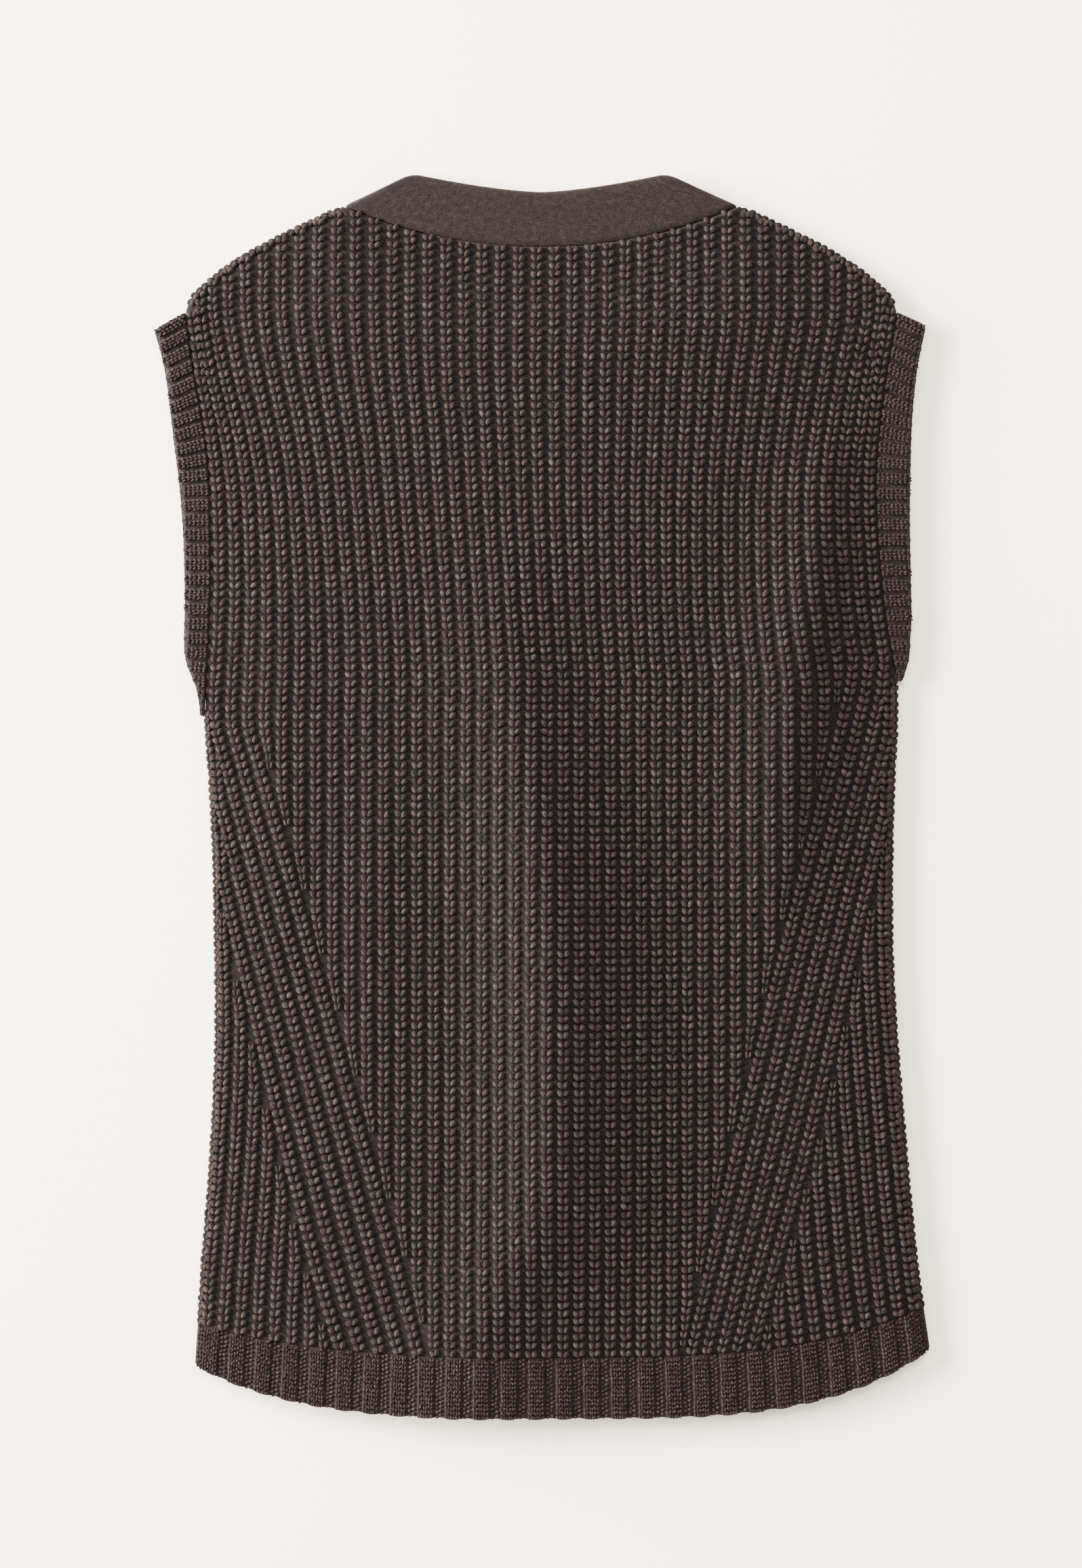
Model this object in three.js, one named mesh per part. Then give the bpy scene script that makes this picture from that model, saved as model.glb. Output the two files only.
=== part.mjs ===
// A chunky rib-knit pullover vest, laid flat on its front with the back uppermost.
// Millimetres. X runs across the vest, Y from the hem up to the neck, Z up from the surface it lies on.
// The origin is the middle of the vest's outline, on that surface.
import * as THREE from "three";

// Driving dimensions of the cloth
const seamGap = 0.3; // between two pieces at a seam
const foldHeight = 4.75; // where the back turns into the front at a side or shoulder
const frontThickness = 4.2;
const layerGap = 1.1; // between the back and the front where they lie on each other
const groundThickness = 3.2; // the back's wall in the grooves between its ribs
const ribHeight = 1.9;
const edgeRound = 12; // width over which the back turns down at a fold
const underRound = 8; // the same on the front, which rests flat inside it
const sideWall = 3.3; // the wall's width where it is cut by the side seam
const ribEases = 7; // width over which a rib rises from a fold
const foldEnds = { over: 18, far: 60 }; // an edge stops being a fold over this height above the underarm
const shoulderEnds = { at: 1.02, over: 0.05 }; // and the shoulder stops at the neck, by its share
const shoulderSlant = 0.86; // from the shoulder's line, for each millimetre below it
const ribCount = 42; // ribs across the back
const chestSpread = { by: 0.11, fromY: 40, over: 190 }; // ribs are wider in the middle of the chest
const sideColumns = 9; // steps across a plain surface from its side in to the neck point
const neckColumns = 8; // and from there to the middle

// Slanting ribs: on each side a band of them moves inwards as it comes down. Upright ribs end at
// its inner line, and new ones start at its outer line, which leaves the side by a first and a
// second power of the ribs moved.
const slantRibs = 5;
const bandLines = { outer: -2, inner: 3 }; // where a band's lines set out, in ribs from its side
const newRibs = 10; // that can start outside a band
const uprightY = 43; // below this the ribs between the bands run straight down
const travelStart = { left: 38.5, right: 76 };
const travelStep = { left: 34.4, right: 39.8 }; // down, for one rib inwards
const outerLine = { left: [0.72, 0.0245], right: [0.817, 0.0419] };
const narrowest = 0.4; // a rib is drawn where it has this share of its width
// Up to the shoulder tips the outermost rib of a side moves out by this many ribs, the others less
const fan = { left: 1.2, right: 0.8, ribs: 12, fromY: 150, toY: 280 };
// The ribs drift from their even places by half sines, each over some of the ribs
const drifts = [
  { from: 0, over: 26, ribs: 0.42 },
  { from: 26, over: 12, ribs: -0.33 },
];

// Bands
const hemDepth = 35;
const hemRibs = 27;
const hemRibHeight = 1.5;
const hemRaisedShare = 0.56;
const hemFlank = { foot: 1.35, shoulder: 0.8 }; // of half the raised width
const frontHemShorter = 1.5;
const armBandThickness = 4.2;
const armRibPitch = { underarm: 8, shoulder: 9 }; // from each of its ribs to the next
const armBandRibHeight = 1.2;
const neckBandThickness = 3.2;
const edgeChamfer = 1.1;
const turnRoom = 1.6; // a band's straight run stops this many fold heights before its fold

// The panel's two edges: the side seams below the underarm, and the armhole seams above it
const panelEdges = [
  { y: -350, left: -196.4, right: 220.4 },
  { y: -312, left: -193.8, right: 217.2 },
  { y: -268, left: -190.8, right: 210.8 },
  { y: -223, left: -187.2, right: 206 },
  { y: -177, left: -184.3, right: 202 },
  { y: -131, left: -182.6, right: 198.4 },
  { y: -86, left: -183, right: 196 },
  { y: -40, left: -183.8, right: 195.9 },
  { y: 5, left: -186, right: 197 },
  { y: 43, left: -188.6, right: 198.6 },
  { y: 63, left: -187.6, right: 198.2 },
  { y: 90, left: -186, right: 193.4 },
  { y: 120, left: -185, right: 189.4 },
  { y: 165, left: -185.6, right: 186.4 },
  { y: 189, left: -187, right: 187 },
  { y: 211, left: -190, right: 189.2 },
  { y: 235, left: -194.4, right: 192.4 },
  { y: 262, left: -198.4, right: 197.2 },
  { y: 271, left: -199.2, right: 198.2 },
  { y: 350, left: -199.2, right: 198.2 },
];
const underarmY = { left: 43, right: 63 };
const shoulderTipY = 271;

// The shoulder from the neck point down to the tip, by the share of the way across
const shoulderLine = [
  { across: 0, drop: 0 },
  { across: 0.12, drop: 4 },
  { across: 0.34, drop: 13.2 },
  { across: 0.52, drop: 21.2 },
  { across: 0.74, drop: 33 },
  { across: 0.9, drop: 44.4 },
  { across: 0.97, drop: 51 },
  { across: 1, drop: 58 },
];
const neckCentreX = -0.5;
const neckHalfWidth = 110.6; // from the centre to the neck point, at the seam
const neckPointY = 329;
const neckSeamY = 306; // centre back
const neckSeamCurve = 2.1;
const neckFreeY = 337; // the neckband's free edge at centre back
const neckFreeHalf = 78;
const neckFreeRise = 11.8;
const neckFreeCurve = 1.5;
const neckGap = { back: 1.6 * seamGap, front: 2.2 * seamGap }; // clears the panels' rounded edges
const neckCorner = { from: 0.84, drop: 4.5 }; // the free edge rounds down to its ends
const vSeamY = 105; // the point of the V at the seam
const vFreeY = 172; // and at the band's free edge
const vCurve = 1.12;

// Hem: the free edge bows down in the middle and turns up at the sides
const hemY = -348;
const hemCurve = 3.6;
const hemRise = { left: 28, right: 37 };
const hemSeamRise = { left: 17.5, right: 27 };
const hemSeamCurve = 3.1;

// The armhole bands' free edges, by the share of the way from the underarm to the shoulder tip
const armBandEdges = [
  { along: 0, leftX: -191.2, leftY: 43.6, rightX: 201.4, rightY: 62.8 },
  { along: 0.066, leftX: -193.4, leftY: 58.5, rightX: 205.4, rightY: 76.2 },
  { along: 0.13, leftX: -199, leftY: 73.4, rightX: 206.3, rightY: 90 },
  { along: 0.17, leftX: -200.4, leftY: 82, rightX: 206.9, rightY: 98.3 },
  { along: 0.3, leftX: -200.1, leftY: 111.5, rightX: 206.4, rightY: 125.4 },
  { along: 0.45, leftX: -201, leftY: 145.5, rightX: 205.9, rightY: 156.5 },
  { along: 0.58, leftX: -203.2, leftY: 173.6, rightX: 206.3, rightY: 182.4 },
  { along: 0.7, leftX: -206.2, leftY: 197.4, rightX: 206.9, rightY: 203.6 },
  { along: 0.8, leftX: -208.6, leftY: 218.3, rightX: 208.2, rightY: 222.4 },
  { along: 0.9, leftX: -211.9, leftY: 240.6, rightX: 210.6, rightY: 241.6 },
  { along: 1, leftX: -217.4, leftY: 261, rightX: 215.2, rightY: 263.6 },
];

// Folds of the back over the front, by their crest: its place, its height and each flank's width
const centreFold = [
  { y: 150, x: -22, height: 0, left: 56, right: 50 },
  { y: 65, x: -18, height: 7.5, left: 60, right: 60 },
  { y: -10, x: -5, height: 12.5, left: 60, right: 66 },
  { y: -86, x: 2, height: 15, left: 60, right: 80 },
  { y: -162, x: 5, height: 15, left: 60, right: 88 },
  { y: -238, x: -2, height: 12.5, left: 60, right: 88 },
  { y: -300, x: -32, height: 8, left: 70, right: 90 },
  { y: -356, x: -42, height: 5, left: 70, right: 90 },
];
const rightFold = [
  { y: 215, x: 160, height: 0, left: 44, right: 26 },
  { y: 140, x: 151, height: 6.5, left: 50, right: 36 },
  { y: 65, x: 140, height: 9, left: 52, right: 46 },
  { y: -10, x: 133, height: 7, left: 52, right: 46 },
  { y: -95, x: 126, height: 0, left: 46, right: 46 },
];
const leftSwell = [
  { y: 150, x: -150, height: 0, left: 26, right: 40 },
  { y: 60, x: -150, height: 1.8, left: 28, right: 42 },
  { y: -60, x: -148, height: 2, left: 28, right: 42 },
  { y: -150, x: -146, height: 0, left: 28, right: 40 },
];
const lowSwell = [
  { y: 20, x: -92, height: 0, left: 40, right: 28 },
  { y: -60, x: -94, height: 2.2, left: 46, right: 30 },
  { y: -130, x: -96, height: 2.2, left: 46, right: 32 },
  { y: -210, x: -98, height: 0, left: 44, right: 30 },
];
const broadSwell = 8.5; // the whole back's, highest down its middle
const swellEases = 70; // width over which it rises from the top edge
const crestRound = 0.13; // a crest is rounded over this share of its flanks
const flankPower = 1.7; // and they run out level by this power of what is left of them

const clamp01 = (t) => Math.min(1, Math.max(0, t));
const ease = (t) => clamp01(t) ** 2 * (3 - 2 * clamp01(t));
const mix = (a, b, t) => a + (b - a) * t;
const evenShares = (count, from, to) => Array.from({ length: count }, (_, i) => mix(from, to, i / count));

// A smooth curve through a table's rows: column `value` against column `key`.
function curveThrough(table, key, value) {
  const rows = [...table].sort((a, b) => a[key] - b[key]);
  const slope = rows.map((row, i) => {
    const before = rows[Math.max(0, i - 1)];
    const after = rows[Math.min(rows.length - 1, i + 1)];
    return (after[value] - before[value]) / (after[key] - before[key]);
  });
  return (at) => {
    const t = Math.min(rows.at(-1)[key], Math.max(rows[0][key], at));
    let i = 0;
    while (i < rows.length - 2 && rows[i + 1][key] < t) i += 1;
    const width = rows[i + 1][key] - rows[i][key];
    const s = (t - rows[i][key]) / width;
    return (
      rows[i][value] * (1 + 2 * s) * (1 - s) ** 2 +
      rows[i + 1][value] * s * s * (3 - 2 * s) +
      width * s * (1 - s) * (slope[i] * (1 - s) - slope[i + 1] * s)
    );
  };
}

const edgeAt = {
  left: curveThrough(panelEdges, "y", "left"),
  right: curveThrough(panelEdges, "y", "right"),
};
const shoulderDrop = curveThrough(shoulderLine, "across", "drop");

// u is -1 at the left edge and 1 at the right. Ribs are a little wider in the middle of the chest.
function acrossX(u, y) {
  const left = edgeAt.left(y);
  const right = edgeAt.right(y);
  const spread = chestSpread.by * ease((y - chestSpread.fromY) / chestSpread.over);
  return mix(left, right, (1 + u + (spread * Math.sin(Math.PI * u)) / Math.PI) / 2);
}
const sideOf = (u) => (u < 0 ? "left" : "right");
const uOfRib = (q) => (2 * q) / ribCount - 1;

// The u whose column meets the top at a share t of the way from the centre to a neck point.
function neckSeamU(t) {
  const wanted = neckCentreX + neckHalfWidth * t;
  let low = -1;
  let high = 1;
  for (let pass = 0; pass < 40; pass += 1) {
    const middle = (low + high) / 2;
    if (acrossX(middle, shoulderTipY) < wanted) low = middle;
    else high = middle;
  }
  return (low + high) / 2;
}

// The top of a panel at u: the shoulder, and the neck seam between the neck points.
function neckShare(u) {
  return Math.abs(acrossX(u, shoulderTipY) - neckCentreX) / neckHalfWidth;
}
function shoulderY(u) {
  const tip = Math.abs(acrossX(Math.sign(u), shoulderTipY) - neckCentreX);
  const at = Math.abs(acrossX(u, shoulderTipY) - neckCentreX);
  return neckPointY - shoulderDrop((at - neckHalfWidth) / (tip - neckHalfWidth));
}
function backTopY(u) {
  const t = neckShare(u);
  return t < 1 ? mix(neckSeamY, neckPointY, t ** neckSeamCurve) : shoulderY(u);
}
function frontTopY(u) {
  const t = neckShare(u);
  return t < 1 ? mix(vSeamY, neckPointY, t ** vCurve) : shoulderY(u);
}
const hemSeamAt = (u) => hemY + hemDepth + hemSeamRise[sideOf(u)] * Math.abs(u) ** hemSeamCurve;
const hemEdgeAt = (u) => hemY + hemRise[sideOf(u)] * Math.abs(u) ** hemCurve;

// A fold's height over a point: zero outside its flanks, so the cloth is flat there.
function foldOf(table) {
  const crest = curveThrough(table, "y", "x");
  const height = curveThrough(table, "y", "height");
  const left = curveThrough(table, "y", "left");
  const right = curveThrough(table, "y", "right");
  const across = Math.hypot(1, crestRound) - crestRound;
  return (x, y) => {
    const aside = x - crest(y);
    const share = Math.abs(aside) / (aside < 0 ? left(y) : right(y));
    const down = (Math.hypot(share, crestRound) - crestRound) / across;
    return share < 1 ? Math.max(0, height(y)) * (1 - down) ** flankPower : 0;
  };
}
const folds = [centreFold, rightFold, leftSwell, lowSwell].map(foldOf);

// Distance inwards from the fold along a side, and far more where the edge is an armhole seam.
function fromSideFold(x, y) {
  const ended = (side) => foldEnds.far * ease((y - underarmY[side]) / foldEnds.over);
  return Math.min(x - edgeAt.left(y) + ended("left"), edgeAt.right(y) - x + ended("right"));
}
// Distance inwards from the shoulder fold, which ends at the neck point and at the tip.
function fromShoulder(u, y, topY) {
  const neck = foldEnds.far * ease((shoulderEnds.at - neckShare(u)) / shoulderEnds.over);
  return (topY - y) * shoulderSlant + neck;
}

// The back's height over the front, above the gap that they always have
function lift(x, y, u) {
  const fromTop = ease((backTopY(u) - y) / swellEases);
  const broad = broadSwell * (1 - u * u) * fromTop;
  return folds.reduce((sum, fold) => sum + fold(x, y), broad);
}
function backInnerZ(x, y, u, fromFold) {
  const rise = frontThickness + layerGap - foldHeight + lift(x, y, u);
  return foldHeight + seamGap / 2 + rise * ease(fromFold / edgeRound);
}
function backOuterZ(x, y, u, fromFold) {
  const full = frontThickness + layerGap + groundThickness - foldHeight + lift(x, y, u);
  const t = 1 - clamp01(fromFold / edgeRound);
  return foldHeight + seamGap / 2 + full * Math.sqrt(1 - t * t);
}
function frontOuterZ(fromFold) {
  const t = 1 - clamp01(fromFold / underRound);
  return (foldHeight - seamGap / 2) * (1 - Math.sqrt(1 - t * t));
}
function frontInnerZ(fromFold) {
  const rim = foldHeight - seamGap / 2 - frontThickness;
  return frontThickness + rim * (1 - ease(fromFold / underRound));
}

// The place at y, in rib widths from the left edge, of the line that crosses the underarm at k.
// Above, it keeps its share of the width, and fans out near the shoulder tips. The ribs drift a
// little about their even places.
function upright(k, y) {
  const half = ({ from, over, ribs }) => ribs * Math.sin(Math.PI * clamp01((k - from) / over));
  const drift = drifts.reduce((sum, row) => sum + half(row), 0);
  if (y >= uprightY) {
    const rise = ease((y - fan.fromY) / (fan.toY - fan.fromY));
    const left = fan.left * rise * clamp01(1 - k / fan.ribs);
    const right = fan.right * rise * clamp01(1 - (ribCount - k) / fan.ribs);
    return k + drift - left + right;
  }
  const x = acrossX(uOfRib(k + drift), uprightY);
  return (ribCount * (x - edgeAt.left(y))) / (edgeAt.right(y) - edgeAt.left(y));
}
const fromSide = (side, q) => (side === "left" ? q : ribCount - q);
const travelled = (side, y) => Math.max(0, (travelStart[side] - y) / travelStep[side]);

// A slanting band's outer and inner line at y, counted from its own side.
function slantLines(side, y) {
  const moved = travelled(side, y);
  const [first, second] = outerLine[side];
  return {
    outer: first * moved + second * moved ** 2 + bandLines.outer,
    inner: fromSide(side, upright(fromSide(side, moved + bandLines.inner), y)),
  };
}

// Every rib of the back: its name, and its place and width at y.
function backRibs() {
  const ribs = [];
  const { inner } = bandLines;
  for (let n = inner; n < ribCount - inner; n += 1) {
    const at = (y) => {
      const low = Math.max(n, travelled("left", y) + inner);
      const high = Math.min(n + 1, ribCount - travelled("right", y) - inner);
      return { q: (upright(low, y) + upright(high, y)) / 2, width: clamp01(high - low) };
    };
    ribs.push({ id: `centre${n}`, at });
  }
  for (const side of ["left", "right"]) {
    for (let n = 1; n <= newRibs; n += 1) {
      const at = (y) => {
        const width = clamp01(slantLines(side, y).outer - (n - 1));
        return { q: fromSide(side, n - 1 + width / 2), width };
      };
      ribs.push({ id: `${side}Outer${n}`, at });
    }
    for (let n = 0; n < slantRibs; n += 1) {
      const at = (y) => {
        const lines = slantLines(side, y);
        const q = fromSide(side, mix(lines.outer, lines.inner, (n + 0.5) / slantRibs));
        return { q, width: (lines.inner - lines.outer) / slantRibs };
      };
      ribs.push({ id: `${side}Slant${n}`, at });
    }
  }
  return ribs;
}
const ribsOfBack = backRibs();

// The ribs that a row of the back crosses, from left to right. The row is a function that gives y at u.
function ribsAcross(rowY) {
  const crossed = ribsOfBack.map(({ id, at }) => {
    let y = rowY(0);
    for (let pass = 0; pass < 5; pass += 1) y = rowY(Math.min(1, Math.max(-1, uOfRib(at(y).q))));
    return { id, ...at(y) };
  });
  const shown = crossed.filter(({ q, width }) => width > narrowest && q > 0.4 && q < ribCount - 0.4);
  return shown.sort((a, b) => a.q - b.q);
}

// A row of the back's outer surface: the crest of each rib, with a groove before it and at the end.
function backRow(rowY) {
  const points = [];
  const add = (id, q, height) => {
    const u = uOfRib(q);
    const y = rowY(u);
    const atEdge = q === 0 || q === ribCount;
    const inset = atEdge && y > underarmY[sideOf(u)] ? (-Math.sign(u) * seamGap) / 2 : 0;
    const x = acrossX(u, y) + inset;
    const fromFold = Math.min(fromSideFold(x, y), fromShoulder(u, y, backTopY(u)));
    const z = backOuterZ(x, y, u, fromFold) + height * ease(fromFold / ribEases);
    points.push({ id, at: [x, y, z] });
  };
  const ribs = ribsAcross(rowY);
  add("leftEdge", 0, 0);
  ribs.forEach((rib, i) => {
    const before = i ? ribs[i - 1].q : 0;
    if (i) add(`${rib.id}Groove`, (before + rib.q) / 2, 0);
    else if (rib.q > 0.7) add("leftGroove", rib.q - 0.5, 0);
    add(rib.id, rib.q, ribHeight * Math.sqrt(Math.min(1, rib.width)));
  });
  const last = ribs.at(-1).q;
  if (last < ribCount - 0.7) add("rightGroove", last + 0.5, 0);
  add("rightEdge", ribCount, 0);
  return points;
}

// The columns of a plain surface, as u: closer together towards each side, with one at each neck
// point and one in the middle.
function plainColumns() {
  const half = (neckU) => {
    const side = Math.sign(neckU);
    const columns = Array.from({ length: sideColumns }, (_, i) => mix(side, neckU, (i / sideColumns) ** 1.5));
    return [...columns, ...evenShares(neckColumns, neckU, 0)];
  };
  return [...half(neckSeamU(-1)), 0, ...half(neckSeamU(1)).reverse()];
}
const columnAt = plainColumns();

// A row of a plain surface, with heightAt giving z. Beside a fold its ends are a wall further in.
function plainRow(rowY, topY, heightAt, wall) {
  return columnAt.map((even, i) => {
    const end = Math.abs(even) === 1;
    const onFold = rowY(even) < underarmY[sideOf(even)];
    const inset = end && onFold ? (2 * wall) / (edgeAt.right(rowY(even)) - edgeAt.left(rowY(even))) : 0;
    const u = even - even * inset;
    const y = rowY(u);
    const x = acrossX(u, y) - (end && !onFold ? (even * seamGap) / 2 : 0);
    const fromFold = Math.min(fromSideFold(x, y), fromShoulder(u, y, topY(u)));
    return { id: `column${i}`, at: [x, y, heightAt(x, y, u, end && onFold ? 0 : fromFold)] };
  });
}

// Triangles between two rows that run the same way. Points with the same name are joined, and a
// point that only one row has fans out to its neighbour. With a on the near side and b beyond it,
// the faces look up.
function strip(a, b) {
  const faces = [];
  const inB = new Map(b.map((point, j) => [point.id ?? Symbol("unnamed"), j]));
  const pairs = a.map((point, i) => [i, inB.get(point.id)]).filter(([, j]) => j !== undefined);
  const ends = [a.length - 1, b.length - 1];
  if (!pairs.length || pairs[0][0] || pairs[0][1]) pairs.unshift([0, 0]);
  if (pairs.at(-1)[0] !== ends[0] || pairs.at(-1)[1] !== ends[1]) pairs.push(ends);
  for (let k = 1; k < pairs.length; k += 1) {
    let [i, j] = pairs[k - 1];
    const [iEnd, jEnd] = pairs[k];
    const iSpan = iEnd - i || 1;
    const jSpan = jEnd - j || 1;
    while (i < iEnd || j < jEnd) {
      const nextA = i < iEnd ? (i + 1 - pairs[k - 1][0]) / iSpan : Infinity;
      const nextB = j < jEnd ? (j + 1 - pairs[k - 1][1]) / jSpan : Infinity;
      if (nextA <= nextB) {
        faces.push([a[i].at, a[i + 1].at, b[j].at]);
        i += 1;
      } else {
        faces.push([a[i].at, b[j + 1].at, b[j].at]);
        j += 1;
      }
    }
  }
  return faces;
}

// A sheet of cloth: its upper rows and its lower rows, both from the near end to the far end,
// closed along its four edges.
function sheetFaces(upper, lower) {
  const bare = (points) => points.map(({ at }, i) => ({ id: i, at }));
  const unnumbered = (points) => points.map(({ at }) => ({ at }));
  const numbered = (points, other) => (points.length === other.length ? bare(points) : unnumbered(points));
  const joined = (a, b) => strip(numbered(a, b), numbered(b, a));
  const column = (rows, pick) => rows.map((row) => row.at(pick));
  const faces = [];
  for (let j = 1; j < upper.length; j += 1) faces.push(...strip(upper[j - 1], upper[j]));
  for (let j = 1; j < lower.length; j += 1) faces.push(...strip(lower[j], lower[j - 1]));
  faces.push(...joined(lower[0], upper[0]));
  faces.push(...joined(upper.at(-1), lower.at(-1)));
  faces.push(...joined(column(upper, 0), column(lower, 0)));
  faces.push(...joined(column(lower, -1), column(upper, -1)));
  return faces;
}

// A closed ring of sections that each have the same number of points.
function ringFaces(sections) {
  const faces = [];
  sections.forEach((a, i) => {
    const b = sections[(i + 1) % sections.length];
    a.forEach((point, j) => {
      const k = (j + 1) % a.length;
      faces.push([point, a[k], b[k]], [point, b[k], b[j]]);
    });
  });
  return faces;
}

function meshOf(name, faces, colour) {
  const volume = faces.reduce((sum, [p, q, r]) => {
    const [a, b, c] = [p, q, r].map((at) => new THREE.Vector3(...at));
    return sum + a.dot(b.cross(c)) / 6;
  }, 0);
  const facing = volume < 0 ? faces.map(([p, q, r]) => [p, r, q]) : faces;
  const geometry = new THREE.BufferGeometry();
  geometry.setAttribute("position", new THREE.Float32BufferAttribute(facing.flat(2), 3));
  geometry.computeVertexNormals();
  const material = new THREE.MeshStandardMaterial({ color: colour, roughness: 0.95, metalness: 0 });
  const mesh = new THREE.Mesh(geometry, material);
  mesh.name = name;
  return mesh;
}

// Rows between two edges: shares of the way up, then a few at fixed distances below the top.
function rowsBetween(bottomY, topY, shares) {
  const first = belowTop[0];
  const rows = shares.map((share) => (u) => mix(bottomY(u), topY(u) - first, share));
  return [...rows, ...belowTop.map((below) => (u) => topY(u) - below)];
}
const belowTop = [14, 8, 4, 1.2, 0];
const wallTaper = 0.55; // at a shoulder the inside draws in by less, the further below the edge it is
const chestShare = 0.58; // of a panel's height, below which its rows are further apart
const lowerRows = { back: 14, front: 5 };
const upperShares = evenShares(6, chestShare, 1);
const panelBottom = (u) => hemSeamAt(u) + seamGap / 2;

// At a shoulder the inner surface ends one wall inside the outer one. At the neck it doesn't.
function endedAtShoulder(rows, topY, heightAt) {
  const moved = (row, wall, flat) =>
    row.map(({ id, at: [x, y, z] }, i) => {
      const u = columnAt[i];
      if (neckShare(u) <= 1) return { id, at: [x, y, z] };
      const fromFold = flat ? 0 : fromShoulder(u, y - wall, topY(u));
      return { id, at: [x, y - wall, heightAt(x, y - wall, u, fromFold)] };
    });
  const last = belowTop.length - 1;
  const walls = belowTop.map((below, k) => Math.max(0, sideWall - below * (k < last ? wallTaper : 1)));
  return rows.map((row, j) => {
    const k = j - (rows.length - belowTop.length);
    return k < 0 || !walls[k] ? row : moved(row, walls[k], k === last);
  });
}

function backPanel() {
  const top = (u) => backTopY(u) - seamGap / 2;
  const rows = rowsBetween(panelBottom, top, [...evenShares(lowerRows.back, 0, chestShare), ...upperShares]);
  const inner = rows.map((rowY) => plainRow(rowY, backTopY, backInnerZ, sideWall));
  return sheetFaces(rows.map(backRow), endedAtShoulder(inner, backTopY, backInnerZ));
}

function frontPanel() {
  const top = (u) => frontTopY(u) - seamGap / 2;
  const rows = rowsBetween(panelBottom, top, [...evenShares(lowerRows.front, 0, chestShare), ...upperShares]);
  const innerHeight = (x, y, u, fromFold) => frontInnerZ(fromFold);
  const outerHeight = (x, y, u, fromFold) => frontOuterZ(fromFold);
  const lower = rows.map((rowY) => plainRow(rowY, frontTopY, outerHeight, 0));
  const upper = rows.map((rowY) => plainRow(rowY, frontTopY, innerHeight, sideWall));
  return sheetFaces(endedAtShoulder(upper, frontTopY, innerHeight), lower);
}

// Across the hem each raised rib has two feet and two shoulders.
function hemRow(rowY, heightAt) {
  const columns = [{ u: -1, height: 0 }];
  for (let n = 0; n < hemRibs; n += 1) {
    const centre = -1 + (2 * n + 1) / hemRibs;
    const half = hemRaisedShare / hemRibs;
    const { foot, shoulder } = hemFlank;
    const shape = [-half * foot, -half * shoulder, half * shoulder, half * foot];
    shape.forEach((aside, i) => columns.push({ u: centre + aside, height: i % 3 ? hemRibHeight : 0 }));
  }
  columns.push({ u: 1, height: 0 });
  return columns.map(({ u, height }, i) => {
    const y = rowY(u);
    const x = acrossX(u, y);
    const fromFold = Math.abs(u) === 1 ? 0 : fromSideFold(x, y);
    return { id: `column${i}`, at: [x, y, heightAt(x, y, u, fromFold) + height * ease(fromFold / ribEases)] };
  });
}
const farTop = () => neckPointY;

function backHem() {
  const top = (u) => hemSeamAt(u) - seamGap / 2;
  const rows = [0, 0.08, 0.5, 1].map((share) => (u) => mix(hemEdgeAt(u), top(u), share));
  const lowered = (x, y, u, fromFold) => {
    const nearEdge = 1 - ease((y - hemEdgeAt(u)) / 3);
    return backOuterZ(x, y, u, fromFold) - edgeChamfer * nearEdge * ease(fromFold / edgeRound);
  };
  const lower = rows.map((rowY) => plainRow(rowY, farTop, backInnerZ, sideWall));
  return sheetFaces(rows.map((rowY) => hemRow(rowY, lowered)), lower);
}

function frontHem() {
  const top = (u) => hemSeamAt(u) - seamGap / 2;
  const rows = [0, 0.5, 1].map((share) => (u) => mix(hemEdgeAt(u) + frontHemShorter, top(u), share));
  const innerHeight = (x, y, u, fromFold) => frontInnerZ(fromFold);
  const outerHeight = (x, y, u, fromFold) => frontOuterZ(fromFold);
  const upper = rows.map((rowY) => plainRow(rowY, farTop, innerHeight, sideWall));
  return sheetFaces(upper, rows.map((rowY) => plainRow(rowY, farTop, outerHeight, 0)));
}

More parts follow.
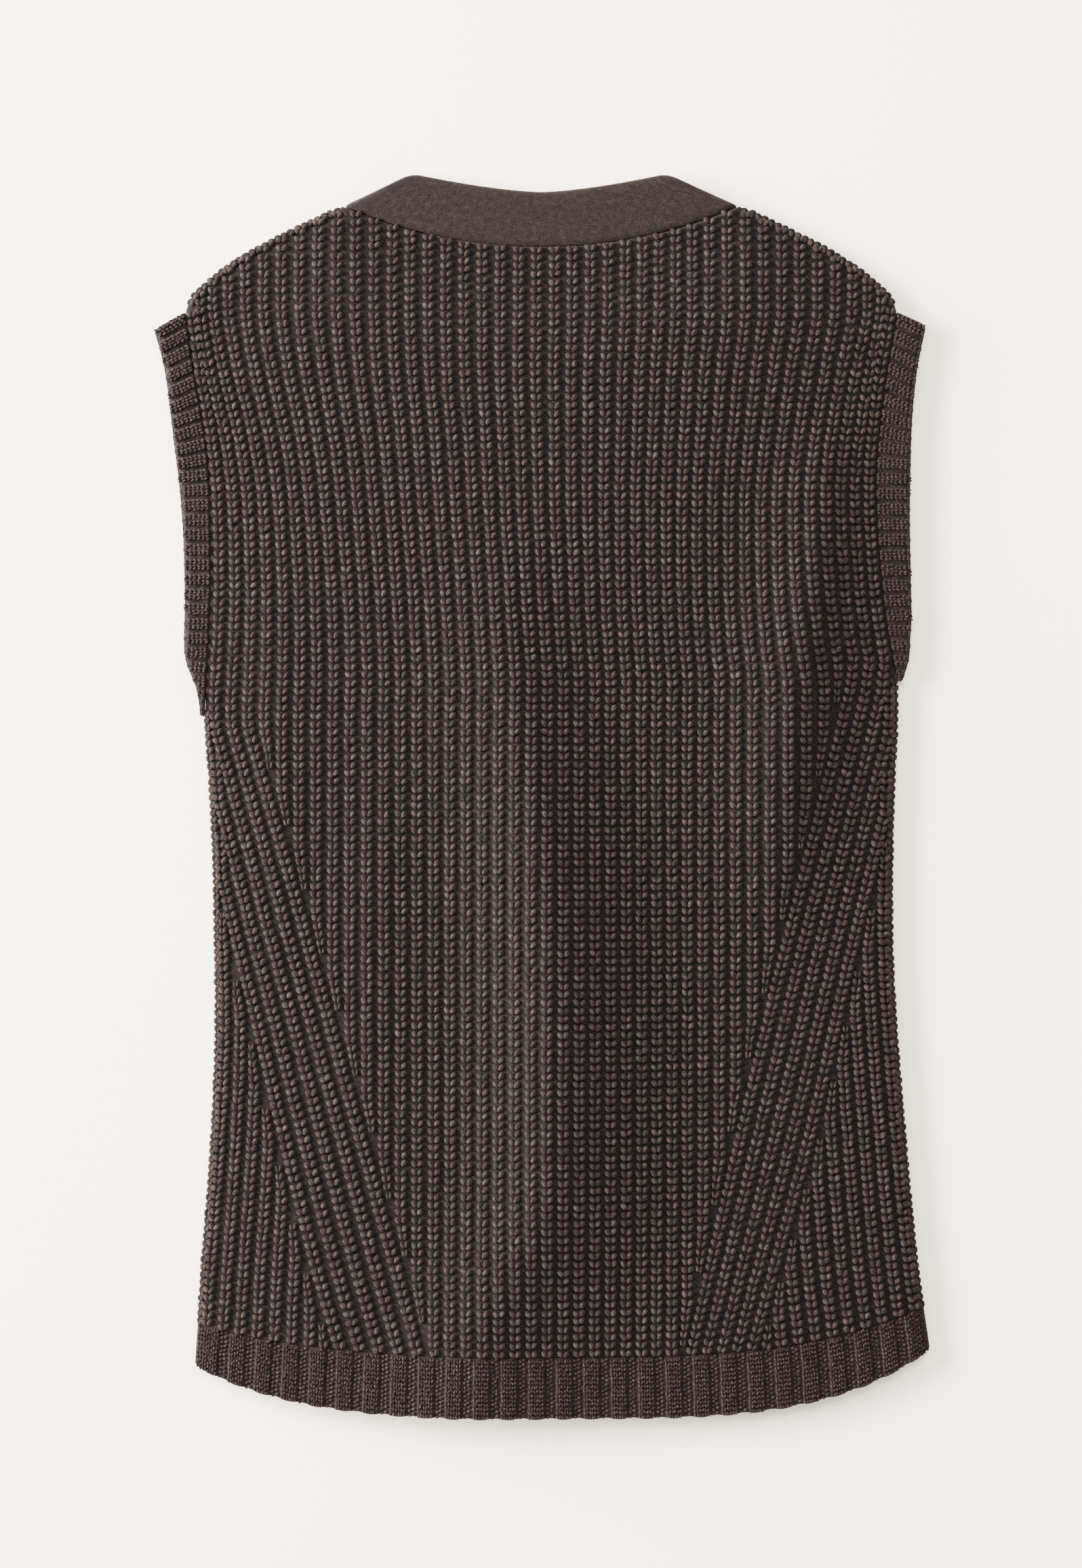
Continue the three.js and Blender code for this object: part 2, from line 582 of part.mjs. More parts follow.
// A band that runs along the upper layer, turns under at a fold, comes back along the lower layer
// and turns up again. A run gives the plan places of the band's seam edge and free edge at t.
function foldedBand({ upperRun, lowerRun, length, thickness, upperSteps, lowerSteps, relief, spacing }) {
  const outerRadius = foldHeight;
  const innerRadius = outerRadius - thickness;
  const turned = (t, angle, radius) => {
    const inside = outerRadius - radius * Math.cos(angle);
    const along = (t > 0.5 ? 1 - inside / length : inside / length);
    const run = angle < 0 ? lowerRun : upperRun;
    return { ...run(along), z: foldHeight + radius * Math.sin(angle) };
  };
  const section = (outer, inner) => {
    const pulled = ({ seam, free }) => {
      const width = Math.hypot(free[0] - seam[0], free[1] - seam[1]);
      return [0, 1].map((k) => mix(free[k], seam[k], edgeChamfer / width));
    };
    const middle = [0, 1].map((k) => (outer.free[k] + inner.free[k]) / 2);
    return [
      [...outer.seam, outer.z],
      [...pulled(outer), outer.z],
      [...middle, (outer.z + inner.z) / 2],
      [...pulled(inner), inner.z],
      [...inner.seam, inner.z],
    ];
  };
  const straight = (run, t, sign, raised) => {
    const at = run(t);
    return section(
      { ...at, z: foldHeight + sign * outerRadius + raised },
      { ...at, z: foldHeight + sign * innerRadius },
    );
  };
  const sections = [];
  const margin = (outerRadius * turnRoom) / length;
  const turns = [75, 50, 25, 0, -25, -50, -75].map((degrees) => (degrees * Math.PI) / 180);
  for (let i = 0; i <= upperSteps; i += 1) {
    const along = mix(margin, 1 - margin, spacing(i / upperSteps));
    sections.push(straight(upperRun, along, 1, relief(i)));
  }
  turns.forEach((angle) => sections.push(section(turned(1, angle, outerRadius), turned(1, angle, innerRadius))));
  for (let i = lowerSteps; i >= 0; i -= 1) {
    sections.push(straight(lowerRun, mix(margin, 1 - margin, i / lowerSteps), -1, 0));
  }
  turns.toReversed().forEach((angle) => {
    sections.push(section(turned(0, angle, outerRadius), turned(0, angle, innerRadius)));
  });
  return ringFaces(sections);
}

// The side of a panel runs straight between the ends of its rows.
function panelCorners(side) {
  const u = side === "left" ? -1 : 1;
  const top = (at) => shoulderY(at) - seamGap / 2;
  const rows = rowsBetween(panelBottom, top, [...evenShares(lowerRows.back, 0, chestShare), ...upperShares]);
  const ends = rows.map((rowY) => rowY(u));
  return (y) => {
    const after = ends.findIndex((end) => end > y);
    if (after < 1) return edgeAt[side](y);
    const [low, high] = [ends[after - 1], ends[after]];
    return mix(edgeAt[side](low), edgeAt[side](high), (y - low) / (high - low));
  };
}

function armholeBand(side) {
  const outwards = side === "left" ? -1 : 1;
  const freeX = curveThrough(armBandEdges, "along", `${side}X`);
  const freeY = curveThrough(armBandEdges, "along", `${side}Y`);
  const seamX = panelCorners(side);
  const run = (t) => {
    const y = mix(underarmY[side], shoulderTipY, t);
    return { seam: [seamX(y) + outwards * seamGap, y], free: [freeX(t), freeY(t)] };
  };
  // The ribs' pitch grows evenly from the underarm to the shoulder.
  const length = shoulderTipY - underarmY[side];
  const growth = armRibPitch.shoulder / armRibPitch.underarm;
  const ribs = Math.round((length * Math.log(growth)) / (armRibPitch.shoulder - armRibPitch.underarm));
  return foldedBand({
    upperRun: run,
    lowerRun: run,
    length,
    thickness: armBandThickness,
    upperSteps: 2 * ribs,
    lowerSteps: 16,
    relief: (i) => (i % 2 ? armBandRibHeight : 0),
    spacing: (share) => (growth ** share - 1) / (growth - 1),
  });
}

// A panel's top edge as y against x, straight between the row's points.
function edgeOf(row) {
  const places = row.map(({ at }) => at);
  return (x) => {
    const after = Math.max(1, places.findIndex(([px]) => px > x));
    const [low, high] = [places[after - 1], places[after]];
    return mix(low[1], high[1], (x - low[0]) / (high[0] - low[0]));
  };
}

function neckband() {
  const flat = () => 0;
  const backTop = (u) => backTopY(u) - seamGap / 2;
  const backEdges = [backRow(backTop), plainRow(backTop, backTopY, flat, 0)].map(edgeOf);
  const backSeam = (x) => Math.max(...backEdges.map((edge) => edge(x)));
  const frontSeam = edgeOf(plainRow((u) => frontTopY(u) - seamGap / 2, frontTopY, flat, 0));
  const run = (seamEdge, gap, centreSeamY, centreFreeY, seamCurve, freeCurve) => (along) => {
    const t = 2 * along - 1;
    const x = acrossX(neckSeamU(t), mix(centreSeamY, neckPointY, Math.abs(t) ** seamCurve));
    const straight = mix(acrossX(0, centreSeamY), neckCentreX - 1, Math.abs(t));
    const rise = neckFreeY + neckFreeRise - centreFreeY;
    const corner = clamp01((Math.abs(t) - neckCorner.from) / (1 - neckCorner.from));
    const freeY = centreFreeY + rise * Math.abs(t) ** freeCurve - neckCorner.drop * corner ** 2;
    return { seam: [x, seamEdge(x) + gap], free: [straight + neckFreeHalf * t, freeY] };
  };
  return foldedBand({
    upperRun: run(backSeam, neckGap.back, neckSeamY, neckFreeY, neckSeamCurve, neckFreeCurve),
    lowerRun: run(frontSeam, neckGap.front, vSeamY, vFreeY, vCurve, vCurve),
    length: 2 * neckHalfWidth,
    thickness: neckBandThickness,
    upperSteps: 32,
    lowerSteps: 32,
    relief: () => 0,
    spacing: (share) => share,
  });
}

const wool = 0x51433e;
const vest = new THREE.Group();
vest.add(
  meshOf("back_panel", backPanel(), wool),
  meshOf("front_panel", frontPanel(), wool),
  meshOf("back_hem_rib", backHem(), wool),
  meshOf("front_hem_rib", frontHem(), wool),
  meshOf("left_armhole_band", armholeBand("left"), wool),
  meshOf("right_armhole_band", armholeBand("right"), wool),
  meshOf("neckband", neckband(), wool),
);

// Set the middle of the outline on the origin.
const outline = new THREE.Box3().setFromObject(vest);
const middle = outline.getCenter(new THREE.Vector3());
vest.traverse((part) => part.geometry?.translate(-middle.x, -middle.y, 0));

export default vest;
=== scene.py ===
"""A chunky rib-knit pullover vest laid flat on its front, dressed over its solids stitch by stitch."""

import math

import bpy
import numpy as np
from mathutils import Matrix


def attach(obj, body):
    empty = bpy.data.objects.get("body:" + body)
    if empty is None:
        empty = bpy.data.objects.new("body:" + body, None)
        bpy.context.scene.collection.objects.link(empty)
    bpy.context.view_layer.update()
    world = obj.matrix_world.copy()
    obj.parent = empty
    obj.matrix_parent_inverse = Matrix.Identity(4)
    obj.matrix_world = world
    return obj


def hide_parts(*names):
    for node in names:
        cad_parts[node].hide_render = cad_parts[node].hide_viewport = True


bl_info = {
    "name": "Rib-knit vest",
    "version": (1, 0, 0),
    "blender": (4, 5, 0),
    "location": "3D View > Sidebar > Vest",
    "description": "Knits a vest's panels and bands stitch by stitch, and sets its floor, light and camera",
    "category": "Object",
}

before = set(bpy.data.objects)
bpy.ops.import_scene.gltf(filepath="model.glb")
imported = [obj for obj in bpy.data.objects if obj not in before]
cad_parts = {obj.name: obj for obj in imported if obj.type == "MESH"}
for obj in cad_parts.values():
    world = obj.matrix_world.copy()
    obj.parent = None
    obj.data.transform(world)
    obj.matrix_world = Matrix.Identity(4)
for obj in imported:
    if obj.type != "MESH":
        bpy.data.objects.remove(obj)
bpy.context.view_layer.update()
MM = 0.001

# The panel's edges: side seams below the underarm, armhole seams above it. Columns: y, left, right
PANEL_EDGES = np.array([
    (-350, -196.4, 220.4), (-312, -193.8, 217.2), (-268, -190.8, 210.8), (-223, -187.2, 206),
    (-177, -184.3, 202), (-131, -182.6, 198.4), (-86, -183, 196), (-40, -183.8, 195.9),
    (5, -186, 197), (43, -188.6, 198.6), (63, -187.6, 198.2), (90, -186, 193.4),
    (120, -185, 189.4), (165, -185.6, 186.4), (189, -187, 187), (211, -190, 189.2),
    (235, -194.4, 192.4), (262, -198.4, 197.2), (271, -199.2, 198.2), (350, -199.2, 198.2),
])
UNDERARM_Y = (43.0, 63.0)
SHOULDER_TIP_Y = 271.0
# Columns: share of the way from the neck point to the tip, drop
SHOULDER = np.array([
    (0, 0), (0.12, 4), (0.34, 13.2), (0.52, 21.2), (0.74, 33), (0.9, 44.4), (0.97, 51), (1, 58),
])
NECK_X, NECK_HALF, NECK_Y = -0.5, 110.6, 329.0
NECK_SEAM_Y, NECK_SEAM_CURVE = 306.0, 2.1
NECK_FREE_Y, NECK_FREE_HALF, NECK_FREE_RISE, NECK_FREE_CURVE = 337.0, 78.0, 11.8, 1.5
NECK_CORNER_FROM, NECK_CORNER_DROP = 0.84, 4.5
V_SEAM_Y, V_FREE_Y, V_CURVE = 105.0, 172.0, 1.12
HEM_Y, HEM_DEPTH = -348.0, 35.0
HEM_CURVE, HEM_SEAM_CURVE = 3.6, 3.1
HEM_RISE, HEM_SEAM_RISE = (28.0, 37.0), (17.5, 27.0)
HEM_RIBS, HEM_RAISED = 27, 0.56
FRONT_HEM_SHORTER = 1.5

# Heights, as the solids have them
FOLD_HEIGHT, FRONT_THICK, LAYER_GAP, GROUND_THICK = 4.75, 4.2, 1.1, 3.2
SEAM_GAP, EDGE_ROUND, UNDER_ROUND, SIDE_WALL = 0.3, 12.0, 8.0, 3.3
FOLD_ENDS_OVER, FOLD_ENDS_FAR = 18.0, 60.0  # an edge stops being a fold over this height above the underarm
SHOULDER_ENDS_AT, SHOULDER_ENDS_OVER = 1.02, 0.05  # and the shoulder at the neck, by its share
SHOULDER_SLANT = 0.86  # distance from the shoulder's line for each millimetre below it
HEM_RIB_EASES = 7.0  # width over which a hem rib rises from a fold
THINNEST = 0.6  # a sheet's least thickness

RIBS = 42
CHEST_SPREAD, SPREAD_FROM_Y, SPREAD_OVER = 0.11, 40.0, 190.0  # ribs are wider in the middle of the chest

# Slanting ribs, for the left and right sides: where the band sets out, how far down it moves in by a rib,
# and how its outer line leaves the side, as a first and second power of the ribs moved
SLANT_RIBS, UPRIGHT_Y = 5, 43.0
BAND_OUTER, BAND_INNER = -2, 3  # where a band's lines set out, in ribs from its side
NEW_RIBS = 10  # that can start outside a band
TRAVEL_START, TRAVEL_STEP = (38.5, 76.0), (34.4, 39.8)
OUTER_LINE = ((0.72, 0.0245), (0.817, 0.0419))
# Up to the shoulder tips the outermost rib of a side moves out by this many ribs, the others less
FANNED, FAN_RIBS, FAN_FROM_Y, FAN_OVER = (1.2, 0.8), 12, 150, 130
# The ribs drift from their even places by half sines. Columns: from rib, over ribs, by ribs
DRIFTS = ((0, 26, 0.42), (26, 12, -0.33))

# Armhole bands' free edges. Columns: share from underarm to tip, left x, left y, right x, right y
ARM_EDGES = np.array([
    (0, -191.2, 43.6, 201.4, 62.8), (0.066, -193.4, 58.5, 205.4, 76.2),
    (0.13, -199, 73.4, 206.3, 90), (0.17, -200.4, 82, 206.9, 98.3),
    (0.3, -200.1, 111.5, 206.4, 125.4), (0.45, -201, 145.5, 205.9, 156.5),
    (0.58, -203.2, 173.6, 206.3, 182.4), (0.7, -206.2, 197.4, 206.9, 203.6),
    (0.8, -208.6, 218.3, 208.2, 222.4), (0.9, -211.9, 240.6, 210.6, 241.6),
    (1, -217.4, 261, 215.2, 263.6),
])

# Folds of the back. Columns: y, crest x, height, left flank, right flank
FOLDS = [np.array(rows, float) for rows in (
    [(-356, -42, 5, 70, 90), (-300, -32, 8, 70, 90), (-238, -2, 12.5, 60, 88), (-162, 5, 15, 60, 88),
     (-86, 2, 15, 60, 80), (-10, -5, 12.5, 60, 66), (65, -18, 7.5, 60, 60), (150, -22, 0, 56, 50)],
    [(-95, 126, 0, 46, 46), (-10, 133, 7, 52, 46), (65, 140, 9, 52, 46), (140, 151, 6.5, 50, 36),
     (215, 160, 0, 44, 26)],
    [(-150, -146, 0, 28, 40), (-60, -148, 2, 28, 42), (60, -150, 1.8, 28, 42), (150, -150, 0, 26, 40)],
    [(-210, -98, 0, 44, 30), (-130, -96, 2.2, 46, 32), (-60, -94, 2.2, 46, 30), (20, -92, 0, 40, 28)],
)]
BROAD_SWELL, SWELL_EASES = 8.5, 70.0  # the whole back's, and the width over which it rises from the top
CREST_ROUND, FLANK_POWER = 0.13, 1.7


# Plan and heights, for whole arrays of points in millimetres

def table_curve(rows, column, at):
    """Cubic Hermite through a table's rows: each knot's slope is the chord between its neighbours."""
    key, value = rows[:, 0], rows[:, column]
    before = np.maximum(np.arange(len(key)) - 1, 0)
    after = np.minimum(np.arange(len(key)) + 1, len(key) - 1)
    slope = (value[after] - value[before]) / (key[after] - key[before])
    t = np.clip(at, key[0], key[-1])
    i = np.clip(np.searchsorted(key, t, side="right") - 1, 0, len(key) - 2)
    width = key[i + 1] - key[i]
    s = (t - key[i]) / width
    return (value[i] * (1 + 2 * s) * (1 - s) ** 2 + value[i + 1] * s * s * (3 - 2 * s)
            + width * s * (1 - s) * (slope[i] * (1 - s) - slope[i + 1] * s))


def ease(t):
    """Smooth step: 0 below 0, 1 above 1, three t squared less two t cubed between."""
    t = np.clip(t, 0, 1)
    return t * t * (3 - 2 * t)


def mix(a, b, t):
    """Linear blend from a to b."""
    return a + (b - a) * t


def edge_x(side, y):
    """x of the panel's left (0) or right (1) edge at y."""
    return table_curve(PANEL_EDGES, 1 + side, y)


def across_x(u, y):
    """x at the share u, from -1 at the left edge to 1 at the right; wider in the middle of the chest."""
    spread = CHEST_SPREAD * ease((y - SPREAD_FROM_Y) / SPREAD_OVER)
    return mix(edge_x(0, y), edge_x(1, y), (1 + u + spread * np.sin(np.pi * u) / np.pi) / 2)


def by_side(pair, u):
    """The left value where u is negative, the right one elsewhere."""
    return np.where(u < 0, pair[0], pair[1])


def neck_share(u):
    """Distance of u's column from the neck's centre over the half width of the neck seam."""
    return np.abs(across_x(u, SHOULDER_TIP_Y) - NECK_X) / NECK_HALF


def shoulder_y(u):
    """The shoulder's y over u: the neck point less the drop for the share of the way to the tip."""
    tip = np.abs(across_x(np.where(u < 0, -1.0, 1.0), SHOULDER_TIP_Y) - NECK_X)
    at = np.abs(across_x(u, SHOULDER_TIP_Y) - NECK_X)
    return NECK_Y - table_curve(SHOULDER, 1, (at - NECK_HALF) / (tip - NECK_HALF))


def back_top(u):
    """The back's top edge: the neck seam rises as a power of the share of its half, then the shoulder."""
    t = neck_share(u)
    return np.where(t < 1, mix(NECK_SEAM_Y, NECK_Y, np.minimum(t, 1) ** NECK_SEAM_CURVE), shoulder_y(u))


def front_top(u):
    """The front's top edge: one side of the V, then the shoulder."""
    t = neck_share(u)
    return np.where(t < 1, mix(V_SEAM_Y, NECK_Y, np.minimum(t, 1) ** V_CURVE), shoulder_y(u))


def hem_seam(u):
    """The hem seam's y: it turns up towards the sides as a power of u."""
    return HEM_Y + HEM_DEPTH + by_side(HEM_SEAM_RISE, u) * np.abs(u) ** HEM_SEAM_CURVE


def hem_edge(u):
    """The hem's free edge, likewise."""
    return HEM_Y + by_side(HEM_RISE, u) * np.abs(u) ** HEM_CURVE


def lift(x, y, u):
    """Height of the back's folds over a broad swell. Each has a crest rounded over a small share of
    its flanks, which run out level by a power of what is left of their width."""
    across = math.hypot(1, CREST_ROUND) - CREST_ROUND
    total = BROAD_SWELL * (1 - u * u) * ease((back_top(u) - y) / SWELL_EASES)
    for rows in FOLDS:
        aside = x - table_curve(rows, 1, y)
        flank = np.where(aside < 0, table_curve(rows, 3, y), table_curve(rows, 4, y))
        share = np.minimum(np.abs(aside) / flank, 1)
        down = (np.hypot(share, CREST_ROUND) - CREST_ROUND) / across
        total = total + np.maximum(0, table_curve(rows, 2, y)) * (1 - down) ** FLANK_POWER
    return total


def from_fold(x, y, u, top):
    """Distance inwards from the nearest fold: a side below the underarm, or the shoulder."""
    left = x - edge_x(0, y) + FOLD_ENDS_FAR * ease((y - UNDERARM_Y[0]) / FOLD_ENDS_OVER)
    right = edge_x(1, y) - x + FOLD_ENDS_FAR * ease((y - UNDERARM_Y[1]) / FOLD_ENDS_OVER)
    neck = FOLD_ENDS_FAR * ease((SHOULDER_ENDS_AT - neck_share(u)) / SHOULDER_ENDS_OVER)
    shoulder = (top(u) - y) * SHOULDER_SLANT + neck
    return np.minimum(np.minimum(left, right), shoulder)


def back_ground(x, y, u):
    """Height of the back in the grooves between its ribs: a quarter round in from a fold, then level."""
    full = FRONT_THICK + LAYER_GAP + GROUND_THICK - FOLD_HEIGHT + lift(x, y, u)
    t = 1 - np.clip(from_fold(x, y, u, back_top) / EDGE_ROUND, 0, 1)
    return FOLD_HEIGHT + SEAM_GAP / 2 + full * np.sqrt(np.maximum(0, 1 - t * t))


def back_inner(x, y, u, at_fold=False):
    """Height of the back's inside, which rests over the front."""
    rise = FRONT_THICK + LAYER_GAP - FOLD_HEIGHT + lift(x, y, u)
    eased = 0 if at_fold else ease(from_fold(x, y, u, back_top) / EDGE_ROUND)
    return FOLD_HEIGHT + SEAM_GAP / 2 + rise * eased


def front_under(x, y, u):
    """Height of the front's face: flat on the surface, a quarter round up to a fold."""
    t = 1 - np.clip(from_fold(x, y, u, front_top) / UNDER_ROUND, 0, 1)
    return (FOLD_HEIGHT - SEAM_GAP / 2) * (1 - np.sqrt(np.maximum(0, 1 - t * t)))


def front_inner(x, y, u, at_fold=False):
    """Height of the front's inside, level but for its rim at a fold."""
    rim = FOLD_HEIGHT - SEAM_GAP / 2 - FRONT_THICK
    eased = 0 if at_fold else ease(from_fold(x, y, u, front_top) / UNDER_ROUND)
    return FRONT_THICK + rim * (1 - eased)


# Meshes

def grid_faces(rows, columns, closed_rows=False, closed_columns=False):
    """Quads of a grid of points, row after row, wrapped round where a direction is closed."""
    i = np.arange(rows if closed_rows else rows - 1)
    j = np.arange(columns if closed_columns else columns - 1)
    i, j = [a.ravel() for a in np.meshgrid(i, j, indexing="ij")]
    up, along = (i + 1) % rows, (j + 1) % columns
    return np.stack([i * columns + j, i * columns + along, up * columns + along, up * columns + j], 1)


def put_mesh(name, points, faces, uv=None, tone=None, depth=None, slot="rib_knit", material=None):
    """A mesh object from points in millimetres and quads (a repeated corner makes a triangle)."""
    mesh = bpy.data.meshes.new(name)
    faces = np.asarray(faces)
    triangle = faces[:, 2] == faces[:, 3]
    sizes = np.where(triangle, 3, 4)
    starts = np.concatenate([[0], np.cumsum(sizes)[:-1]])
    corners = faces[np.arange(4)[None, :] < sizes[:, None]]
    mesh.vertices.add(len(points))
    mesh.vertices.foreach_set("co", (np.asarray(points) * MM).astype(np.float32).ravel())
    mesh.loops.add(len(corners))
    mesh.loops.foreach_set("vertex_index", corners.astype(np.int32))
    mesh.polygons.add(len(faces))
    mesh.polygons.foreach_set("loop_start", starts.astype(np.int32))
    mesh.polygons.foreach_set("loop_total", sizes.astype(np.int32))
    mesh.polygons.foreach_set("use_smooth", np.ones(len(faces), bool))
    if uv is not None:
        layer = mesh.uv_layers.new(name="UVMap")
        layer.data.foreach_set("uv", uv[corners].astype(np.float32).ravel())
    for label, values in (("tone", tone), ("depth", depth)):
        if values is not None:
            layer = mesh.attributes.new(label, "FLOAT", "POINT")
            layer.data.foreach_set("value", values.astype(np.float32))
    mesh.update(calc_edges=True)
    mesh.validate()
    piece = bpy.data.objects.new(name, mesh)
    bpy.context.scene.collection.objects.link(piece)
    if material is not None:
        mesh.materials.append(material)
    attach(piece, "root")
    return piece


def sheet_mesh(name, upper, lower, **options):
    """A closed sheet: two grids of points of one shape, sewn together round their four edges."""
    rows, columns = upper.shape[:2]
    count = rows * columns
    index = np.arange(count).reshape(rows, columns)
    top = grid_faces(rows, columns)
    rim = np.concatenate([index[0, :], index[1:, -1], index[-1, -2::-1], index[-2:0:-1, 0]])
    after = np.roll(rim, -1)
    wall = np.stack([rim, rim + count, after + count, after], 1)
    faces = np.concatenate([top, top[:, ::-1] + count, wall])
    points = np.concatenate([upper.reshape(-1, 3), lower.reshape(-1, 3)])
    uv = np.concatenate([upper.reshape(-1, 3)[:, :2], lower.reshape(-1, 3)[:, :2]])
    return put_mesh(name, points, faces, uv=uv, tone=np.zeros(len(points)), **options)


# Stitches

POD_POWER = 2.1


def pod(rings, round_angles):
    """A plump closed pod along s from -1 to 1: rings of points whose radius is the root of 1 less a power
    of |s|, closed to a point at both ends. Gives each point's s, side, height and angle, and the faces."""
    s = np.array(rings)
    radius = np.sqrt(1 - np.abs(s) ** POD_POWER)
    angle = np.radians(round_angles)
    along = np.repeat(s, len(angle))
    side = (radius[:, None] * np.cos(angle)).ravel()
    height = (radius[:, None] * np.sin(angle)).ravel()
    turn = np.tile(angle, len(s))
    body = grid_faces(len(s), len(angle), closed_columns=True)
    first, last = len(along), len(along) + 1
    j = np.arange(len(angle))
    k = (j + 1) % len(angle)
    low = np.stack([np.full_like(j, first), k, j, j], 1)
    end = (len(s) - 1) * len(angle)
    high = np.stack([np.full_like(j, last), j + end, k + end, k + end], 1)
    faces = np.concatenate([body, low, high])
    return (np.append(along, [-1, 1]), np.append(side, [0, 0]), np.append(height, [0, 0]),
            np.append(turn, [np.pi / 2] * 2), faces)


LEG = pod([-0.84, -0.36, 0.36, 0.84], [90, 38, -12, -90, -168, 142])
SMALL_LEG = pod([-0.62, 0, 0.62], [90, 10, -90, 170])
END_SHADE_POWER = 2.2  # power of the way from a leg's middle to its end, by which painted shade darkens it towards its ends


def knit(name, shape, places, across, along, up, size, lean, random, material, slot, share=None):
    """Stitch legs at each place: a pod, leaning out to its own side as it rises.

    places, across, along and up are (n, 3): the stitch's middle and its unit directions. size is
    (offset to a side, half length, half width, half height, height of the pod's axis, how much higher
    its upper end is). lean is how far the leg moves out between its middle and its upper end. share
    is how much of its full width each stitch has."""
    s, side, height, turn, faces = shape
    offset, half_length, half_width, half_height, rise, tilt = size
    count = len(places)
    hand = np.tile([-1, 1], count)[:, None] if offset else np.ones((count, 1))
    pick = np.repeat(np.arange(count), 2 if offset else 1)
    total = len(pick)
    wide = np.ones((total, 1)) if share is None else share[pick, None]
    jitter = random.normal(size=(total, 6))
    scale = 1 + 0.05 * jitter[:, 0:1]
    middle = hand * wide * (offset + (lean + 0.1 * jitter[:, 1:2]) * s[None, :])
    a = middle + side[None, :] * half_width * wide * scale + 0.14 * jitter[:, 2:3]
    b = s[None, :] * half_length * (1 + 0.05 * jitter[:, 3:4]) + 0.2 * jitter[:, 4:5]
    h = rise + tilt * s[None, :] + height[None, :] * half_height * wide ** 0.5 * scale + 0.1 * jitter[:, 5:6]
    points = (places[pick, None, :] + a[..., None] * across[pick, None, :]
              + b[..., None] * along[pick, None, :] + h[..., None] * up[pick, None, :])
    shift = random.uniform(0, 60, size=(total, 2))
    uv = np.stack([b + shift[:, 0:1], (turn[None, :] * half_width) * hand + shift[:, 1:2]], -1)
    tone = np.broadcast_to(random.normal(size=(total, 1)), b.shape)
    # painted shade: each leg darker towards its ends, where it dives under its neighbours
    depth = np.broadcast_to(np.abs(s) ** END_SHADE_POWER, b.shape)
    offsets = (np.arange(total) * len(s))[:, None, None]
    all_faces = (faces[None] + offsets).reshape(-1, 4)
    return put_mesh(name, points.reshape(-1, 3), all_faces, uv=uv.reshape(-1, 2),
                    tone=tone.ravel(), depth=depth.ravel(), slot=slot, material=material)


def unit(v):
    """Vectors made one long."""
    return v / np.linalg.norm(v, axis=-1, keepdims=True)


def frames_on(surface, q, y, q_of_y):
    """Places and directions on a surface at (q, y): across, along the rib, and out of the cloth."""
    places = surface(q, y)
    along = unit(surface(q_of_y(y + 1.0), y + 1.0) - surface(q_of_y(y - 1.0), y - 1.0))
    across = surface(q + 0.05, y) - surface(q - 0.05, y)
    up = unit(np.cross(across, along))
    up = unit(np.concatenate([up[:, :2], np.maximum(up[:, 2:], 0.8)], 1))
    return places, unit(np.cross(along, up)), along, up


ROW_PITCH = 4.55  # from course to course
SIDE_PITCH, SHOULDER_PITCH = 4.3, 4.1  # from stitch to stitch along a fold
EDGE_PLACE = 0.46  # the outermost rib's place, in ribs
EDGE_INSET, EDGE_LIFT, EDGE_SHARE = 2.1, 1.6, 0.85  # the folds' own stitches: inwards, up, and their width
VISIBLE_INSET = 1.3  # the wall stays this far inside the outline at a fold, and its stitches fill it
INSET_POWER = 12  # which fades by this power of u
SHOULDER_MARGIN, WIDEST_MARGIN, NECK_MARGIN = 3.4, 5.6, 1.7  # from the last course to the top edge
STEEPEST = 2.5  # the top edge's slope, where it counts for that margin
COURSES_SHIFT = 60.0  # height over which the courses close up to the last one
BLOCK_ENDS = (0, 28, 56, 84, 112, 200)  # courses at which the back's stitches are parted into pieces
TAPER_FROM = 0.98  # share of a panel's rise, above which its inside draws in at a shoulder


def back_surface(q, y):
    """Points of the back's ground at rib place q, from 0 to the rib count, and height y."""
    u = 2 * np.asarray(q) / RIBS - 1
    x = across_x(u, y)
    below_arm = 1 - ease((y - np.where(u < 0, *UNDERARM_Y)) / 14)
    x = x - np.sign(u) * VISIBLE_INSET * np.abs(u) ** INSET_POWER * below_arm
    return np.stack(np.broadcast_arrays(x, y, back_ground(x, y, u)), -1)


def upright(k, y):
    """Place at y of the line that crosses the underarm at rib k. Above, it keeps its share of the
    width but fans out near the shoulder tips, and below it runs straight down. The ribs drift by two
    half sines about their even places."""
    k = k + sum(by * np.sin(np.pi * np.clip((k - start) / over, 0, 1)) for start, over, by in DRIFTS)
    x = across_x(2 * k / RIBS - 1, UPRIGHT_Y)
    left, right = edge_x(0, y), edge_x(1, y)
    fan = (FANNED[1] * np.clip(1 - (RIBS - k) / FAN_RIBS, 0, 1)
           - FANNED[0] * np.clip(1 - k / FAN_RIBS, 0, 1)) * ease((y - FAN_FROM_Y) / FAN_OVER)
    return np.where(y >= UPRIGHT_Y, k + fan, RIBS * (x - left) / (right - left))


def travelled(side, y):
    """How many ribs the slanting band of a side has moved in at y."""
    return np.maximum(0, (TRAVEL_START[side] - y) / TRAVEL_STEP[side])


def from_side(side, q):
    """A rib place counted from a side's edge as one counted from the left, or the other way round."""
    return q if side == 0 else RIBS - q


def slant_lines(side, y):
    """The slanting band's outer and inner line at y, as places counted from its side's edge."""
    moved = travelled(side, y)
    first, second = OUTER_LINE[side]
    outer = first * moved + second * moved ** 2 + BAND_OUTER
    inner = from_side(side, upright(from_side(side, moved + BAND_INNER), y))
    return outer, inner


def outer_rib(side, n):
    """Rib n outside the slanting band: it widens from a point where the band leaves it room."""
    def at(y):
        width = np.clip(slant_lines(side, y)[0] - (n - 1), 0, 1)
        return from_side(side, n - 1 + width / 2), width
    return at


